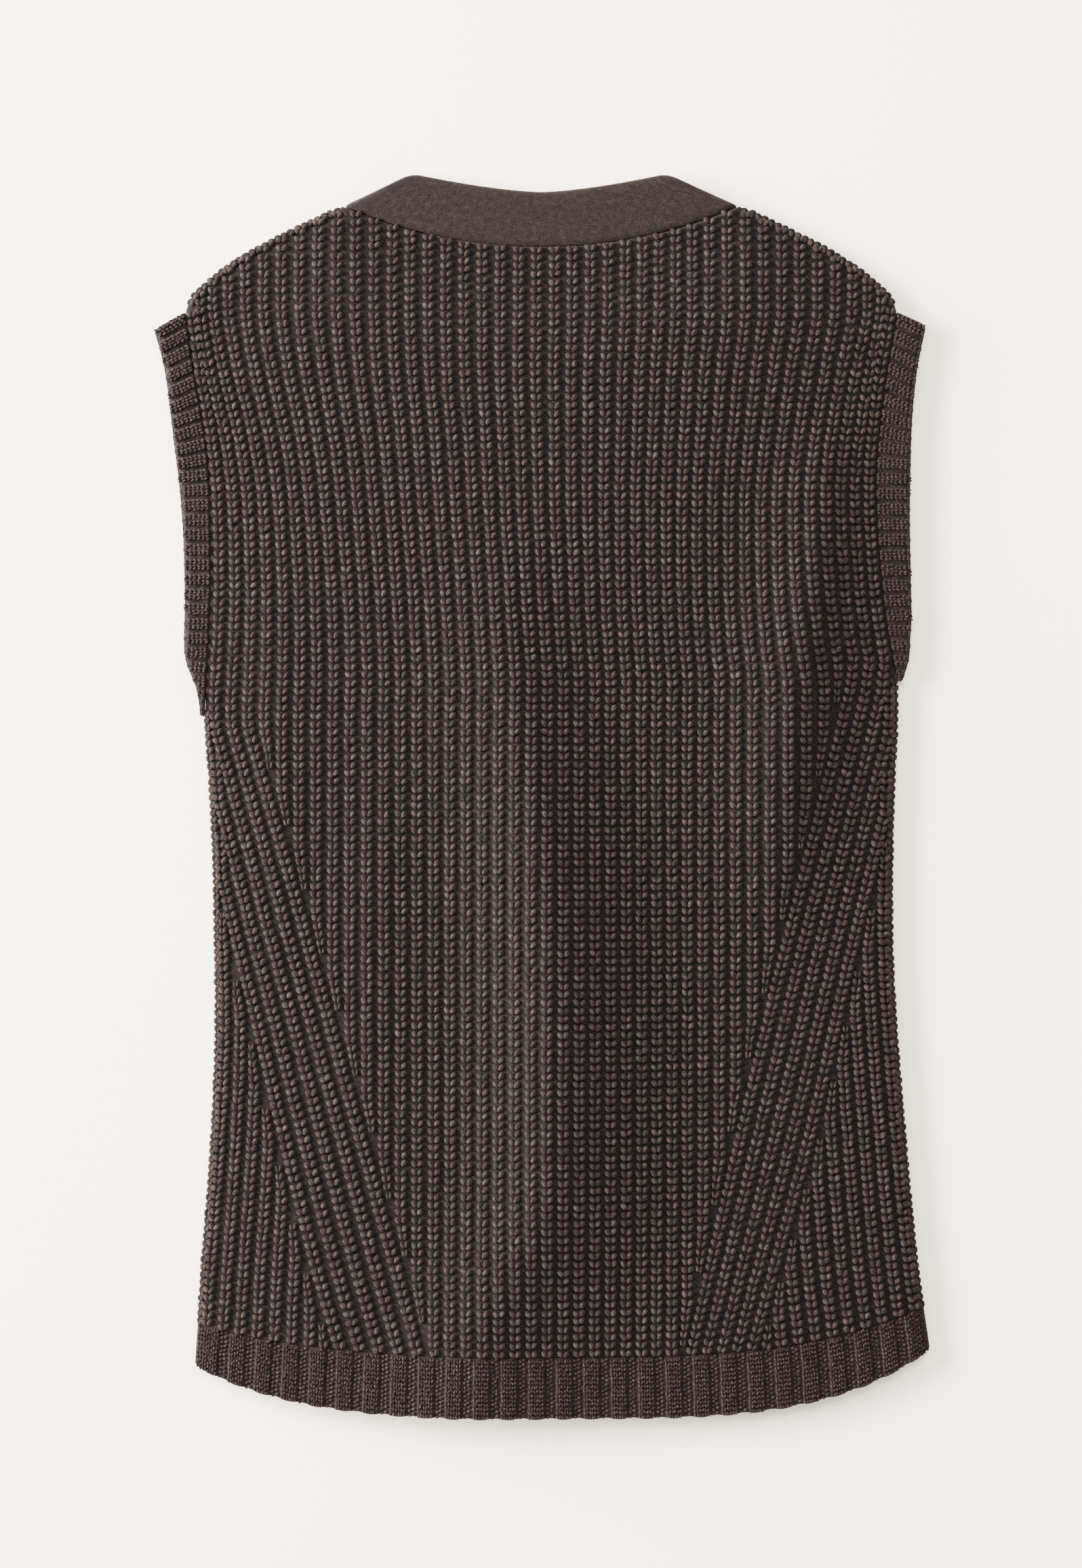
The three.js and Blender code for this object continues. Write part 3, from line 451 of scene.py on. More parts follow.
def slant_rib(side, j):
    """Rib j of a slanting band: the middle of its share between the band's two lines."""
    def at(y):
        outer, inner = slant_lines(side, y)
        return from_side(side, mix(outer, inner, (j - 0.5) / SLANT_RIBS)), (inner - outer) / SLANT_RIBS
    return at


def centre_rib(n):
    """Upright rib n: it narrows to a point where a slanting band crosses it."""
    def at(y):
        low = np.maximum(n, travelled(0, y) + BAND_INNER)
        high = np.minimum(n + 1, RIBS - travelled(1, y) - BAND_INNER)
        return (upright(low, y) + upright(high, y)) / 2, np.clip(high - low, 0, 1)
    return at


def back_ribs():
    """Every rib of the back: a function from y to its place and to its width in ribs."""
    ribs = [centre_rib(n) for n in range(BAND_INNER, RIBS - BAND_INNER)]
    for side in (0, 1):
        ribs += [outer_rib(side, n) for n in range(1, NEW_RIBS + 1)]
        ribs += [slant_rib(side, j) for j in range(1, SLANT_RIBS + 1)]
    return ribs


def course_y(r, u):
    """y of course r over u: level in the chest, following the hem seam's curve near the hem."""
    level = HEM_Y + HEM_DEPTH + 2.0 + ROW_PITCH * r
    curve = hem_seam(u) - HEM_Y - HEM_DEPTH
    return level + curve * (1 - ease((level - HEM_Y - HEM_DEPTH) / 330))


def top_slope(u):
    """The back's top edge's slope at u, as y over x, up to the steepest that counts."""
    low, high = np.clip(u - 0.01, -1, 1), np.clip(u + 0.01, -1, 1)
    across = across_x(high, SHOULDER_TIP_Y) - across_x(low, SHOULDER_TIP_Y)
    return np.clip((back_top(high) - back_top(low)) / across, -STEEPEST, STEEPEST)


def side_fold_line(side):
    """Points of a side's fold from the hem's seam to the underarm, and the side they face."""
    y = np.arange(hem_seam(side * 2.0 - 1) + 1.5, UNDERARM_Y[side] + 5, SIDE_PITCH)
    return np.stack([edge_x(side, y), y], 1), side * 2 - 1


def shoulder_line(side):
    """Points of a shoulder's fold from the neck point to the tip, and the side they face."""
    u = np.linspace(0, 1, 2001) * (side * 2 - 1)
    u = u[neck_share(u) > 1.015]
    line = np.stack([across_x(u, back_top(u)), back_top(u)], 1)
    way = np.concatenate([[0], np.cumsum(np.linalg.norm(np.diff(line, axis=0), axis=1))])
    at = np.arange(2, way[-1] - 2, SHOULDER_PITCH)
    return np.stack([np.interp(at, way, line[:, i]) for i in (0, 1)], 1), side * 2 - 1


def edge_stitches(line, facing):
    """Places and directions of a chain of stitches along a fold, turned half outwards."""
    along = unit(np.gradient(line, axis=0))
    outwards = np.stack([along[:, 1], -along[:, 0]], 1)
    outwards = outwards * np.sign(outwards[:, :1] * facing)
    count = len(line)
    height = np.full((count, 1), FOLD_HEIGHT + EDGE_LIFT)
    places = np.concatenate([line - outwards * EDGE_INSET, height], 1)
    up = unit(np.concatenate([outwards * 0.75, np.full((count, 1), 0.66)], 1))
    along = np.concatenate([along, np.zeros((count, 1))], 1)
    return places, np.cross(along, up), along, up


def back_stitch_places():
    """Every stitch of the back: place, directions, width and course, where its rib is wide enough."""
    found = []
    courses = np.arange(int(660 / ROW_PITCH))
    for rib in back_ribs():
        y = course_y(courses, 0.0)
        for _ in range(4):
            y = course_y(courses, np.clip(2 * rib(y)[0] / RIBS - 1, -1, 1))
        u = np.clip(2 * rib(y)[0] / RIBS - 1, -1, 1)
        shoulder = np.minimum(SHOULDER_MARGIN * np.hypot(1, top_slope(u)), WIDEST_MARGIN)
        last = (back_top(u) - np.where(neck_share(u) > 1, shoulder, NECK_MARGIN))[-1]
        below = y[y < last][-1]
        y = y + (last - below) * ease((y - below + COURSES_SHIFT) / COURSES_SHIFT)
        q, width = rib(y)
        keep = (width > 0.35) & (y < last + 0.1) & (q > -0.15) & (q < RIBS + 0.15)
        if keep.any():
            near = lambda at, rib=rib: np.clip(rib(at)[0], EDGE_PLACE, RIBS - EDGE_PLACE)
            parts = frames_on(back_surface, near(y[keep]), y[keep], near)
            found.append((*parts, width[keep] ** 0.65, courses[keep]))
    for along_edge in (side_fold_line, shoulder_line):
        for side in (0, 1):
            parts = edge_stitches(*along_edge(side))
            course = np.round((parts[0][:, 1] - HEM_Y - HEM_DEPTH) / ROW_PITCH)
            found.append((*parts, np.full(len(course), EDGE_SHARE), course))
    return [np.concatenate(columns) for columns in zip(*found)]


# Shader nodes

class Value:
    """A socket that adds Math nodes as it is used in an expression."""

    def __init__(self, tree, socket):
        self.tree, self.socket = tree, socket

    def _math(self, operation, first, second):
        node = self.tree.add("ShaderNodeMath", {"operation": operation}, {0: first, 1: second})
        return node.out()

    def __add__(self, other):
        return self._math("ADD", self, other)

    def __radd__(self, other):
        return self._math("ADD", other, self)

    def __sub__(self, other):
        return self._math("SUBTRACT", self, other)

    def __rsub__(self, other):
        return self._math("SUBTRACT", other, self)

    def __mul__(self, other):
        return self._math("MULTIPLY", self, other)

    def __rmul__(self, other):
        return self._math("MULTIPLY", other, self)


class Made:
    """A node just made, and its outputs as values."""

    def __init__(self, tree, node):
        self.tree, self.node = tree, node

    def out(self, name=0):
        return Value(self.tree, self.node.outputs[name])


class Tree:
    """A material's nodes, each made by one method from its type, settings and sockets."""

    def __init__(self, name):
        self.material = bpy.data.materials.new(name)
        self.material.use_nodes = True
        self.nodes, self.links = self.material.node_tree.nodes, self.material.node_tree.links
        self.nodes.clear()

    def add(self, kind, settings=None, sockets=None):
        node = self.nodes.new(kind)
        for key, value in (settings or {}).items():
            if key == "stops":
                while len(node.color_ramp.elements) < len(value):
                    node.color_ramp.elements.new(0.5)
                for element, (position, colour) in zip(node.color_ramp.elements, value):
                    element.position, element.color = position, (*colour, 1)
            else:
                setattr(node, key, value)
        for key, value in (sockets or {}).items():
            if isinstance(value, Value):
                self.links.new(value.socket, node.inputs[key])
            else:
                node.inputs[key].default_value = value
        return Made(self, node)

    def step(self, value, low, high):
        """0 below low, 1 above high, smooth between."""
        sockets = {"Value": value, "From Min": low, "From Max": high}
        return self.add("ShaderNodeMapRange", {"interpolation_type": "SMOOTHSTEP"}, sockets).out("Result")

    def noise(self, where, scale, detail=2.0, roughness=0.5):
        sockets = {"Vector": where, "Scale": scale, "Detail": detail, "Roughness": roughness}
        return self.add("ShaderNodeTexNoise", None, sockets).out(0)

    def blend(self, share, low, high, how="MIX"):
        """A colour between two, by a share."""
        settings = {"data_type": "RGBA", "blend_type": how}
        sockets = {0: share, 6: low, 7: high}
        return self.add("ShaderNodeMix", settings, sockets).out(2)


def srgb(*channels):
    """A colour's 0 to 255 screen values as the linear ones that a shader takes."""
    c = np.array(channels) / 255
    return (*np.where(c <= 0.04045, c / 12.92, ((c + 0.055) / 1.055) ** 2.4), 1.0)


PLY_PITCH = 0.95  # of the twisted plies, in millimetres


def wool(name, twist, fibre_scale, relief_depth, shade=1.0, streak=0.45):
    """Marled wool: plies that cross the leg aslant, streaks of lighter and darker fibre along them, a tone
    for each stitch, and painted shade that darkens each leg's ends, where it dives into the cloth. shade
    multiplies the colour; on the grounds between stitches it is painted shade in the grooves. The pattern is
    in the UV map, in millimetres. streak is how close the fibre's flecks are along the yarn."""
    tree = Tree(name)
    yarn = bpy.context.scene.vest_sizes
    uv = tree.add("ShaderNodeUVMap", {"uv_map": "UVMap"}).out(0)
    split = tree.add("ShaderNodeSeparateXYZ", None, {0: uv})
    along, across = split.out(0), split.out(1)
    aslant = across + along * twist
    fibre_at = tree.add("ShaderNodeCombineXYZ", None, {
        0: along * (streak * fibre_scale), 1: aslant * (1.9 * fibre_scale)}).out(0)
    patch_at = tree.add("ShaderNodeCombineXYZ", None, {0: along * 0.3, 1: across * 0.3}).out(0)
    fibre = tree.noise(fibre_at, 1.0, 3.0, 0.68)
    patch = tree.noise(patch_at, 1.0, 2.0, 0.5)
    tint = tree.noise(fibre_at, 0.43, 1.0, 0.5)
    tone = tree.add("ShaderNodeAttribute", {"attribute_name": "tone"}).out("Fac")
    light = tree.step(fibre + (patch - 0.5) * 0.3 + tone * 0.025, 0.37, 0.64)
    base = tree.add("ShaderNodeValToRGB", {"stops": [
        (0.0, yarn.dark), (0.45, yarn.mid), (0.8, yarn.light), (1.0, yarn.fleck)]}, {0: light}).out(0)
    warm = tree.blend(tree.step(tint, 0.42, 0.62), srgb(192, 184, 190), srgb(202, 184, 172))
    coloured = tree.blend(0.42, base, warm, "OVERLAY")
    # shade multiplies the colour; on the grounds between stitches it is painted shade in the grooves
    shaded = tree.blend(1.0, coloured, (shade, shade, shade, 1), "MULTIPLY")
    depth = tree.add("ShaderNodeAttribute", {"attribute_name": "depth"}).out("Fac")
    # painted shade: each leg's colour mixed towards black at its ends, where it dives under its neighbours
    colour = tree.blend(depth * 0.9, shaded, (0, 0, 0, 1))
    ply = tree.add("ShaderNodeMath", {"operation": "SINE"}, {0: aslant * (2 * math.pi / PLY_PITCH)}).out(0)
    relief = fibre * 0.8 + ply * 0.16
    bump = tree.add("ShaderNodeBump", None, {
        "Strength": 0.9, "Distance": relief_depth * MM, "Height": relief}).out(0)
    shader = tree.add("ShaderNodeBsdfPrincipled", None, {
        "Base Color": colour, "Roughness": 0.92, "Normal": bump, "Sheen Weight": 0.07,
        "Sheen Tint": srgb(214, 184, 172), "Sheen Roughness": 0.5, "Specular IOR Level": 0.12}).out(0)
    tree.add("ShaderNodeOutputMaterial", None, {0: shader})
    return tree.material


# Pieces

def length_of(name, description, millimetres):
    """A length that a user would change."""
    return bpy.props.FloatProperty(
        name=name, description=description, default=millimetres * MM, unit="LENGTH", precision=5)


def fibre_colour(name, description, *channels):
    """A colour that a user would change, from screen values under the scene's bright light."""
    return bpy.props.FloatVectorProperty(
        name=name, description=description, default=srgb(*channels)[:3], subtype="COLOR", min=0, max=1)


class VestSizes(bpy.types.PropertyGroup):
    """Sizes of the back's stitches, and colours of the marled yarn."""

    leg_half_length: length_of("Half length", "Half a stitch leg's length", 1.98)
    leg_half_width: length_of("Half width", "Half a stitch leg's width", 1.7)
    leg_half_height: length_of("Half height", "Half a stitch leg's height", 1.75)
    leg_offset: length_of("Offset", "From a rib's middle to its legs' middles", 1.62)
    leg_lean: length_of("Lean", "How far a leg moves out over its upper half", 0.65)
    dark: fibre_colour("Dark", "Darkest fibre of the yarn", 12, 8.6, 7.3)
    mid: fibre_colour("Middle", "The yarn's main colour", 27, 20.7, 19)
    light: fibre_colour("Light", "Lighter fibre of the yarn", 40.5, 32.7, 30.3)
    fleck: fibre_colour("Fleck", "Lightest flecks of the yarn", 60, 49, 45.5)


def panel_inside(x, y, u, rise, inset, height):
    """Points of a panel's inside. It is that of the outside, but a wall further in at a side's fold, and
    at a shoulder over the last of its rise."""
    side_fold = (y < np.where(u < 0, *UNDERARM_Y)) & (np.abs(u) == 1)
    inner_x = np.where(side_fold, x - np.sign(u) * inset, x)
    on_shoulder = (neck_share(u) > 1) & (rise > TAPER_FROM)
    inner_y = y - np.where(on_shoulder, SIDE_WALL * (rise - TAPER_FROM) / (1 - TAPER_FROM), 0)
    at_fold = side_fold | (on_shoulder & (rise == 1))
    z = np.where(at_fold, height(inner_x, inner_y, u, True), height(inner_x, inner_y, u))
    return inner_x, inner_y, z


def back_wall():
    """The back's wall: ground above, inside below, four steps to a rib and one to three courses."""
    u = np.linspace(-1, 1, 4 * RIBS + 1)[None, :]
    near_top = 1 - np.array([0.045, 0.03, 0.018, 0.009, 0.003, 0])
    rise = np.concatenate([np.linspace(0, 0.94, 56), near_top])[:, None]
    y = mix(hem_seam(u) + SEAM_GAP / 2, back_top(u) - SEAM_GAP / 2, rise)
    q = (u + 1) * RIBS / 2 + 0 * y
    upper = back_surface(q, y)
    x, y, z = panel_inside(upper[..., 0], y, u, rise, SIDE_WALL - VISIBLE_INSET, back_inner)
    return sheet_mesh("back_wall", upper, np.stack([x, y, np.minimum(z, upper[..., 2] - THINNEST)], -1))


class VEST_OT_back(bpy.types.Operator):
    """Knits the back: its wall, and every stitch of its ribs"""

    bl_idname = "vest.back"
    bl_label = "Back"

    def execute(self, context):
        yarn = wool("rib_yarn", 0.5, 1.0, 0.5)
        # painted shade: the ground in the grooves between the ribs' stitches is darkened to about a quarter
        ground = wool("rib_ground_painted_shade", 0.3, 0.8, 0.6, shade=0.27)
        wall = back_wall()
        wall.data.materials.append(ground)
        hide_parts("back_panel")
        random = np.random.default_rng(7)
        places, across, along, up, share, course = back_stitch_places()
        sizes = context.scene.vest_sizes
        offset, half_length, half_width, half_height, lean = (
            length / MM for length in (sizes.leg_offset, sizes.leg_half_length, sizes.leg_half_width,
                                       sizes.leg_half_height, sizes.leg_lean))
        shape = (offset, half_length, half_width, half_height, 0.8, -0.2)
        for k, (low, high) in enumerate(zip(BLOCK_ENDS, BLOCK_ENDS[1:])):
            keep = (course >= low) & (course < high)
            knit(f"back_stitches_{k + 1}", LEG, places[keep], across[keep], along[keep],
                                 up[keep], shape, lean, random, yarn, "rib_knit", share[keep])
        return {"FINISHED"}


class VEST_OT_front(bpy.types.Operator):
    """Makes the front, face down, pressed flat on the surface, with its V"""

    bl_idname = "vest.front"
    bl_label = "Front"

    def execute(self, context):
        u = np.linspace(-1, 1, 6 * RIBS + 1)[None, :]
        u = u * (1.02 - 0.02 * u * u)
        near_top = 1 - np.array([0.03, 0.02, 0.012, 0.006, 0.002, 0])
        rise = np.concatenate([np.linspace(0, 0.96, 90), near_top])[:, None]
        y = mix(hem_seam(u) + SEAM_GAP / 2, front_top(u) - SEAM_GAP / 2, rise)
        x = across_x(u, y)
        z = front_under(x, y, u)
        inner_x, inner_y, top = panel_inside(x, y, u, rise, SIDE_WALL, front_inner)
        upper = np.stack([inner_x, inner_y, np.maximum(top, z + THINNEST)], -1)
        piece = sheet_mesh("front_wall", upper, np.stack([x, y, z], -1),
                           material=wool("front_knit", 0.4, 0.9, 0.6, shade=0.8))
        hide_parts("front_panel")
        return {"FINISHED"}


HEM_COURSE = 2.4  # from row to row of the fine knitting
HEM_FLANK = 0.16  # a raised band's flank, in bands
HEM_SUNK, HEM_RELIEF = 0.75, 1.1  # the hem's ground below the back's, and its bands above that
HEM_ROUND, HEM_DROP = 3.0, 1.6  # width and depth of its free edge's rounding
HEM_WALL_INSET = 0.6  # the wall stays this far inside the free edge
HEM_COLUMNS = (-0.187, 0, 0.187, 0.43, 0.57)  # of stitches, in bands from a band's middle
HEM_RAISED_COLUMNS = 0.3  # nearer than this to the middle they are knit, and else purl
HEM_END_COLUMNS = (0.07, 0.2)  # more of them beside each fold

# Stitches of the bands: offset, half length, half width, half height, rise and tilt, and the lean
HEM_LEG, HEM_LEAN = (0.74, 1.08, 0.6, 1.2, 0.35, -0.1), 0.35
HEM_PURL = (0, 1.15, 0.85, 1.15, 0.35, 0)
ARM_LEG, ARM_LEAN = (0.74, 1.12, 0.68, 1.2, 0.3, -0.1), 0.3


def hem_surface(q, y):
    """Points of the back hem at band place q, from 0 to HEM_RIBS: its raised bands are flat-topped,
    with eased flanks, and its free edge is rounded down."""
    u = 2 * np.asarray(q) / HEM_RIBS - 1
    x = across_x(u, y)
    x = x - np.sign(u) * VISIBLE_INSET * np.abs(u) ** INSET_POWER
    aside = np.abs((q % 1) - 0.5)
    raised = ease((HEM_RAISED / 2 + HEM_FLANK / 2 - aside) / HEM_FLANK)
    raised = raised * ease(from_fold(x, y, u, far_top) / HEM_RIB_EASES)
    near_edge = 1 - np.clip((y - hem_edge(u)) / HEM_ROUND, 0, 1)
    rounded = HEM_DROP * (1 - np.sqrt(np.maximum(0, 1 - near_edge ** 2)))
    z = back_ground(x, y, u) - HEM_SUNK + HEM_RELIEF * raised - rounded
    return np.stack(np.broadcast_arrays(x, y, z), -1)


def far_top(u):
    """A top edge out of reach, for pieces that have no shoulder."""
    return NECK_Y + 0 * u


def hem_wall():
    """The back hem's wall."""
    u = np.linspace(-1, 1, 12 * HEM_RIBS + 1)[None, :]
    rise = np.array([0, 0.012, 0.03, 0.06, 0.1, 0.2, 0.3, 0.4, 0.5, 0.6, 0.7, 0.8, 0.9, 0.96, 1])[:, None]
    scallop = 0.5 * np.cos(np.pi * HEM_RIBS * (1 + u)) * (1 - rise) ** 8
    y = mix(hem_edge(u) + HEM_WALL_INSET + scallop, hem_seam(u) - SEAM_GAP / 2, rise)
    q = (u + 1) * HEM_RIBS / 2 + 0 * y
    upper = hem_surface(q, y)
    end = np.abs(u) == 1
    inner_x = upper[..., 0] - np.where(end, np.sign(u) * (SIDE_WALL - VISIBLE_INSET), 0)
    z = np.where(end, back_inner(inner_x, y, u, True), back_inner(inner_x, y, u))
    z = np.minimum(z, upper[..., 2] - THINNEST)
    return sheet_mesh("hem_wall", upper, np.stack([inner_x, y, z], -1), slot="band_knit")


def hem_stitches():
    """Places of the hem's fine V stitches, three columns to a raised band, and of its purl bumps."""
    rows = np.arange(16)
    knits, purls = [], []
    for n in range(HEM_RIBS):
        for aside in HEM_COLUMNS:
            q = n + 0.5 + aside
            if q > HEM_RIBS - 0.1:
                continue
            u = 2 * q / HEM_RIBS - 1
            y = hem_edge(u) + 1.6 + HEM_COURSE * rows + (1.1 if aside > 0.5 else 0)
            y = y[y < hem_seam(u) - 0.8]
            parts = frames_on(hem_surface, q + 0 * y, y, lambda at, q=q: q + 0 * at)
            (knits if aside < HEM_RAISED_COLUMNS else purls).append(parts)
    near, far = HEM_END_COLUMNS
    for q in (near, far, HEM_RIBS - far, HEM_RIBS - near):
        u = 2 * q / HEM_RIBS - 1
        y = np.arange(hem_edge(u) + 1.6, hem_seam(u) - 0.8, HEM_COURSE)
        knits.append(frames_on(hem_surface, q + 0 * y, y, lambda at, q=q: q + 0 * at))
    return [[np.concatenate(columns) for columns in zip(*parts)] for parts in (knits, purls)]


class VEST_OT_hem(bpy.types.Operator):
    """Knits the two hem ribs"""

    bl_idname = "vest.hem"
    bl_label = "Hem ribs"

    def execute(self, context):
        yarn = wool("hem_yarn", 0.5, 1.5, 0.3, shade=1.2)
        wall = hem_wall()
        # painted shade: the hem's ground between its stitches is darkened to half
        wall.data.materials.append(wool("hem_ground_painted_shade", 0.3, 1.2, 0.4, shade=0.5))
        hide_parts("back_hem_rib")
        random = np.random.default_rng(11)
        (places, across, along, up), purl = hem_stitches()
        knits = knit("hem_knits", SMALL_LEG, places, across, along, up, HEM_LEG, HEM_LEAN,
                     random, yarn, "band_knit")
        places, across, along, up = purl
        purls = knit("hem_purls", SMALL_LEG, places, along, -across, up, HEM_PURL, 0.0,
                     random, yarn, "band_knit")

        u = np.linspace(-1, 1, 6 * HEM_RIBS + 1)[None, :]
        rise = np.array([0, 0.03, 0.08, 0.5, 0.9, 1])[:, None]
        y = mix(hem_edge(u) + FRONT_HEM_SHORTER + 0.4, hem_seam(u) - SEAM_GAP / 2, rise)
        x = across_x(u, y)
        end = np.abs(u) == 1
        under_z = front_under(x, y, u)
        inner_x = np.where(end, x - np.sign(u) * SIDE_WALL, x)
        top = np.where(end, front_inner(inner_x, y, u, True), front_inner(inner_x, y, u))
        upper = np.stack([inner_x, y, np.maximum(top, under_z + THINNEST)], -1)
        front = sheet_mesh("front_hem_wall", upper, np.stack([x, y, under_z], -1), slot="band_knit",
                           material=wool("front_hem_knit", 0.3, 1.2, 0.4, shade=0.8))
        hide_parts("front_hem_rib")
        return {"FINISHED"}


def outwards(points, faces):
    """The faces of a closed mesh, turned round where its signed volume is below zero."""
    a, b, c, d = (points[faces[:, i]] for i in range(4))
    volume = (np.cross(b - a, c - a) * a).sum() + (np.cross(c - a, d - a) * a).sum()
    return faces if volume > 0 else faces[:, ::-1]


TURN_ROOM = 1.6  # a band's straight run stops this many fold heights before its fold


def turned_band(name, upper, lower, length, profile, relief, steps, **options):
    """A ring of cloth that runs along the upper layer, turns under at each fold and comes back below.

    upper and lower give the plan places of its seam and free edge at a share of the way. profile is
    rows of (share from the seam to the free edge, radius about the fold). relief(along) gives each
    section's extra height and its free edge's pull inwards."""
    margin = FOLD_HEIGHT * TURN_ROOM / length
    even = np.linspace(margin, 1 - margin, steps)
    turn = np.radians(np.linspace(75, -75, 11))
    sign = np.concatenate([np.ones(steps), np.sin(turn), -np.ones(steps), np.sin(turn[::-1])])
    reach = np.concatenate([np.zeros(steps), np.cos(turn), np.zeros(steps), np.cos(turn[::-1])])
    near = np.repeat([0, 1, 0, 2], [steps, len(turn), steps, len(turn)])
    level = np.concatenate([even, turn * 0, even[::-1], turn * 0])
    high, pull = relief(level)
    on_top = (near == 0) & (sign > 0)
    high, pull = np.where(on_top, high, 0), np.where(on_top, pull, 0)
    points = []
    for share, radius, lifts in profile:
        inside = (FOLD_HEIGHT - radius * reach) / length
        along = np.choose(near, [level, 1 - inside, inside])
        seam, free = [np.where((sign < 0)[:, None], below, above)
                      for above, below in zip(upper(along), lower(along))]
        width = np.linalg.norm(free - seam, axis=1)
        plan = mix(seam, mix(free, seam, (pull / width)[:, None]), share)
        z = FOLD_HEIGHT + sign * radius + high * lifts
        points.append(np.concatenate([plan, z[:, None]], 1))
    points = np.stack(points, 1)
    flat = points.reshape(-1, 3)
    faces = outwards(flat, grid_faces(*points.shape[:2], closed_rows=True, closed_columns=True))
    around = np.cumsum(np.concatenate([[0], np.linalg.norm(np.diff(points[:, 0], axis=0), axis=1)]))
    across = np.concatenate([[0], np.cumsum(np.linalg.norm(np.diff(points[0], axis=0), axis=1))])
    uv = np.stack(np.broadcast_arrays(around[:, None], across[None, :]), -1).reshape(-1, 2)
    return put_mesh(name, flat, faces, uv=uv, tone=np.zeros(len(flat)), **options)


def rounded_profile(outer, inner, round_seam, round_free):
    """Rows for turned_band: out along the outer radius, round the free edge, back along the inner."""
    shares = np.array([0, 0.04, 0.1, 0.2, 0.35, 0.5, 0.65, 0.8, 0.9, 0.96, 1])
    near_free = np.clip((shares - 0.8) / 0.2, 0, 1)
    near_seam = np.clip((0.1 - shares) / 0.1, 0, 1)
    drop = round_free * (1 - np.sqrt(1 - near_free ** 2)) + round_seam * (1 - np.sqrt(1 - near_seam ** 2))
    out = [(share, outer - low, 1.0) for share, low in zip(shares, drop)]
    back = [(share, inner + low * 0.2, 0.0) for share, low in zip(shares[::-2], drop[::-2])]
    return out + back


ARM_PITCH = (8.0, 9.0)  # between the armhole band's ribs, at the underarm and at the shoulder
ARM_RADIUS, ARM_WALL = FOLD_HEIGHT - 0.7, 2.9
ARM_RELIEF, ARM_RELIEF_POWER = 1.15, 0.8  # its ribs' height, and how full they are
ARM_PULL = 1.2  # the free edge's draw inwards between two ribs
ARM_COLUMNS = (-0.19, 0.19)  # of stitches, in ribs from a rib's middle
ARM_FIRST, ARM_COURSE = 1.3, 2.45  # from the seam to the first stitch, and from course to course


def arm_run(side):
    """The armhole band's seam edge and free edge at a share of the way from underarm to tip."""
    def run(t):
        y = mix(UNDERARM_Y[side], SHOULDER_TIP_Y, t)
        seam = np.stack([edge_x(side, y) + (side * 2 - 1) * SEAM_GAP, y], -1)
        free = np.stack([table_curve(ARM_EDGES, column + 2 * side, t) for column in (1, 2)], -1)
        return seam, free
    return run


def arm_rib(side, t):
    """Count of armhole ribs passed at t, where their pitch grows evenly with the way, and the pitch."""
    length = SHOULDER_TIP_Y - UNDERARM_Y[side]
    low, high = ARM_PITCH
    pitch = mix(low, high, t)
    whole = np.log(high / low) * length / (high - low)
    return np.log(pitch / low) * length / (high - low) * np.round(whole) / whole, pitch


def arm_surface(side):
    """Points of an armhole band's upper layer at a share of the way and a distance from its seam."""
    run = arm_run(side)

    def surface(t, d):
        seam, free = run(t)
        width = np.linalg.norm(free - seam, axis=-1)
        share = d / width
        near_free = np.clip((share - 0.8) / 0.2, 0, 0.98)
        z = FOLD_HEIGHT + ARM_RADIUS - 2 * (1 - np.sqrt(1 - near_free ** 2)) + 0.8
        return np.concatenate([mix(seam, free, share[:, None]), z[:, None]], 1)
    return surface


def arm_stitches(side):
    """Places of an armhole band's fine V stitches: two columns to a rib, from the seam outwards."""
    surface = arm_surface(side)
    t_even = np.linspace(0, 1, 4001)
    counted = arm_rib(side, t_even)[0]
    ribs = np.arange(round(counted[-1])) + 0.5
    found, shares = [], []
    for aside in ARM_COLUMNS:
        t = np.interp(ribs + aside, counted, t_even)
        width = np.linalg.norm(np.subtract(*arm_run(side)(t)), axis=-1)
        for course in range(8):
            d = ARM_FIRST + ARM_COURSE * course
            keep = (d < width - 0.9) & (t > 0.01) & (t < 0.99)
            at, far = t[keep], d + 0 * t[keep]
            places = surface(at, far)
            along = unit(surface(at, far + 0.5) - surface(at, far - 0.5))
            across = surface(at + 0.002, far) - surface(at - 0.002, far)
            up = unit(np.cross(across, along))
            flip = np.sign(up[:, 2:])
            found.append((places, unit(np.cross(along, up * flip)), along, up * flip))
            shares.append(arm_rib(side, at)[1] / ARM_PITCH[1])
    return [np.concatenate(columns) for columns in zip(*found)], np.concatenate(shares)


class VEST_OT_armhole_bands(bpy.types.Operator):
    """Knits the two armhole bands"""

    bl_idname = "vest.armhole_bands"
    bl_label = "Armhole bands"

    def execute(self, context):
        yarn = wool("arm_yarn", 0.5, 1.5, 0.3)
        # painted shade: the ground in the grooves between the band's ribs is darkened to about a third
        ground = wool("arm_ground_painted_shade", 0.3, 1.2, 0.4, shade=0.35)
        for side, name in enumerate(("left", "right")):
            length = SHOULDER_TIP_Y - UNDERARM_Y[side]

            def relief(t, side=side):
                wave = 0.5 - 0.5 * np.cos(2 * np.pi * arm_rib(side, t)[0])
                return ARM_RELIEF * wave ** ARM_RELIEF_POWER, ARM_PULL * (1 - wave)

            profile = rounded_profile(ARM_RADIUS, ARM_RADIUS - ARM_WALL, 0.6, 2.2)
            run = arm_run(side)
            ring = turned_band(f"{name}_arm_wall", run, run, length, profile, relief, 260,
                               slot="band_knit", material=ground)
            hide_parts(f"{name}_armhole_band")
            (places, across, along, up), share = arm_stitches(side)
            random = np.random.default_rng(20 + side)
            stitches = knit(f"{name}_arm_stitches", SMALL_LEG, places, across, along, up,
                            ARM_LEG, ARM_LEAN, random, yarn, "band_knit", share)
        return {"FINISHED"}


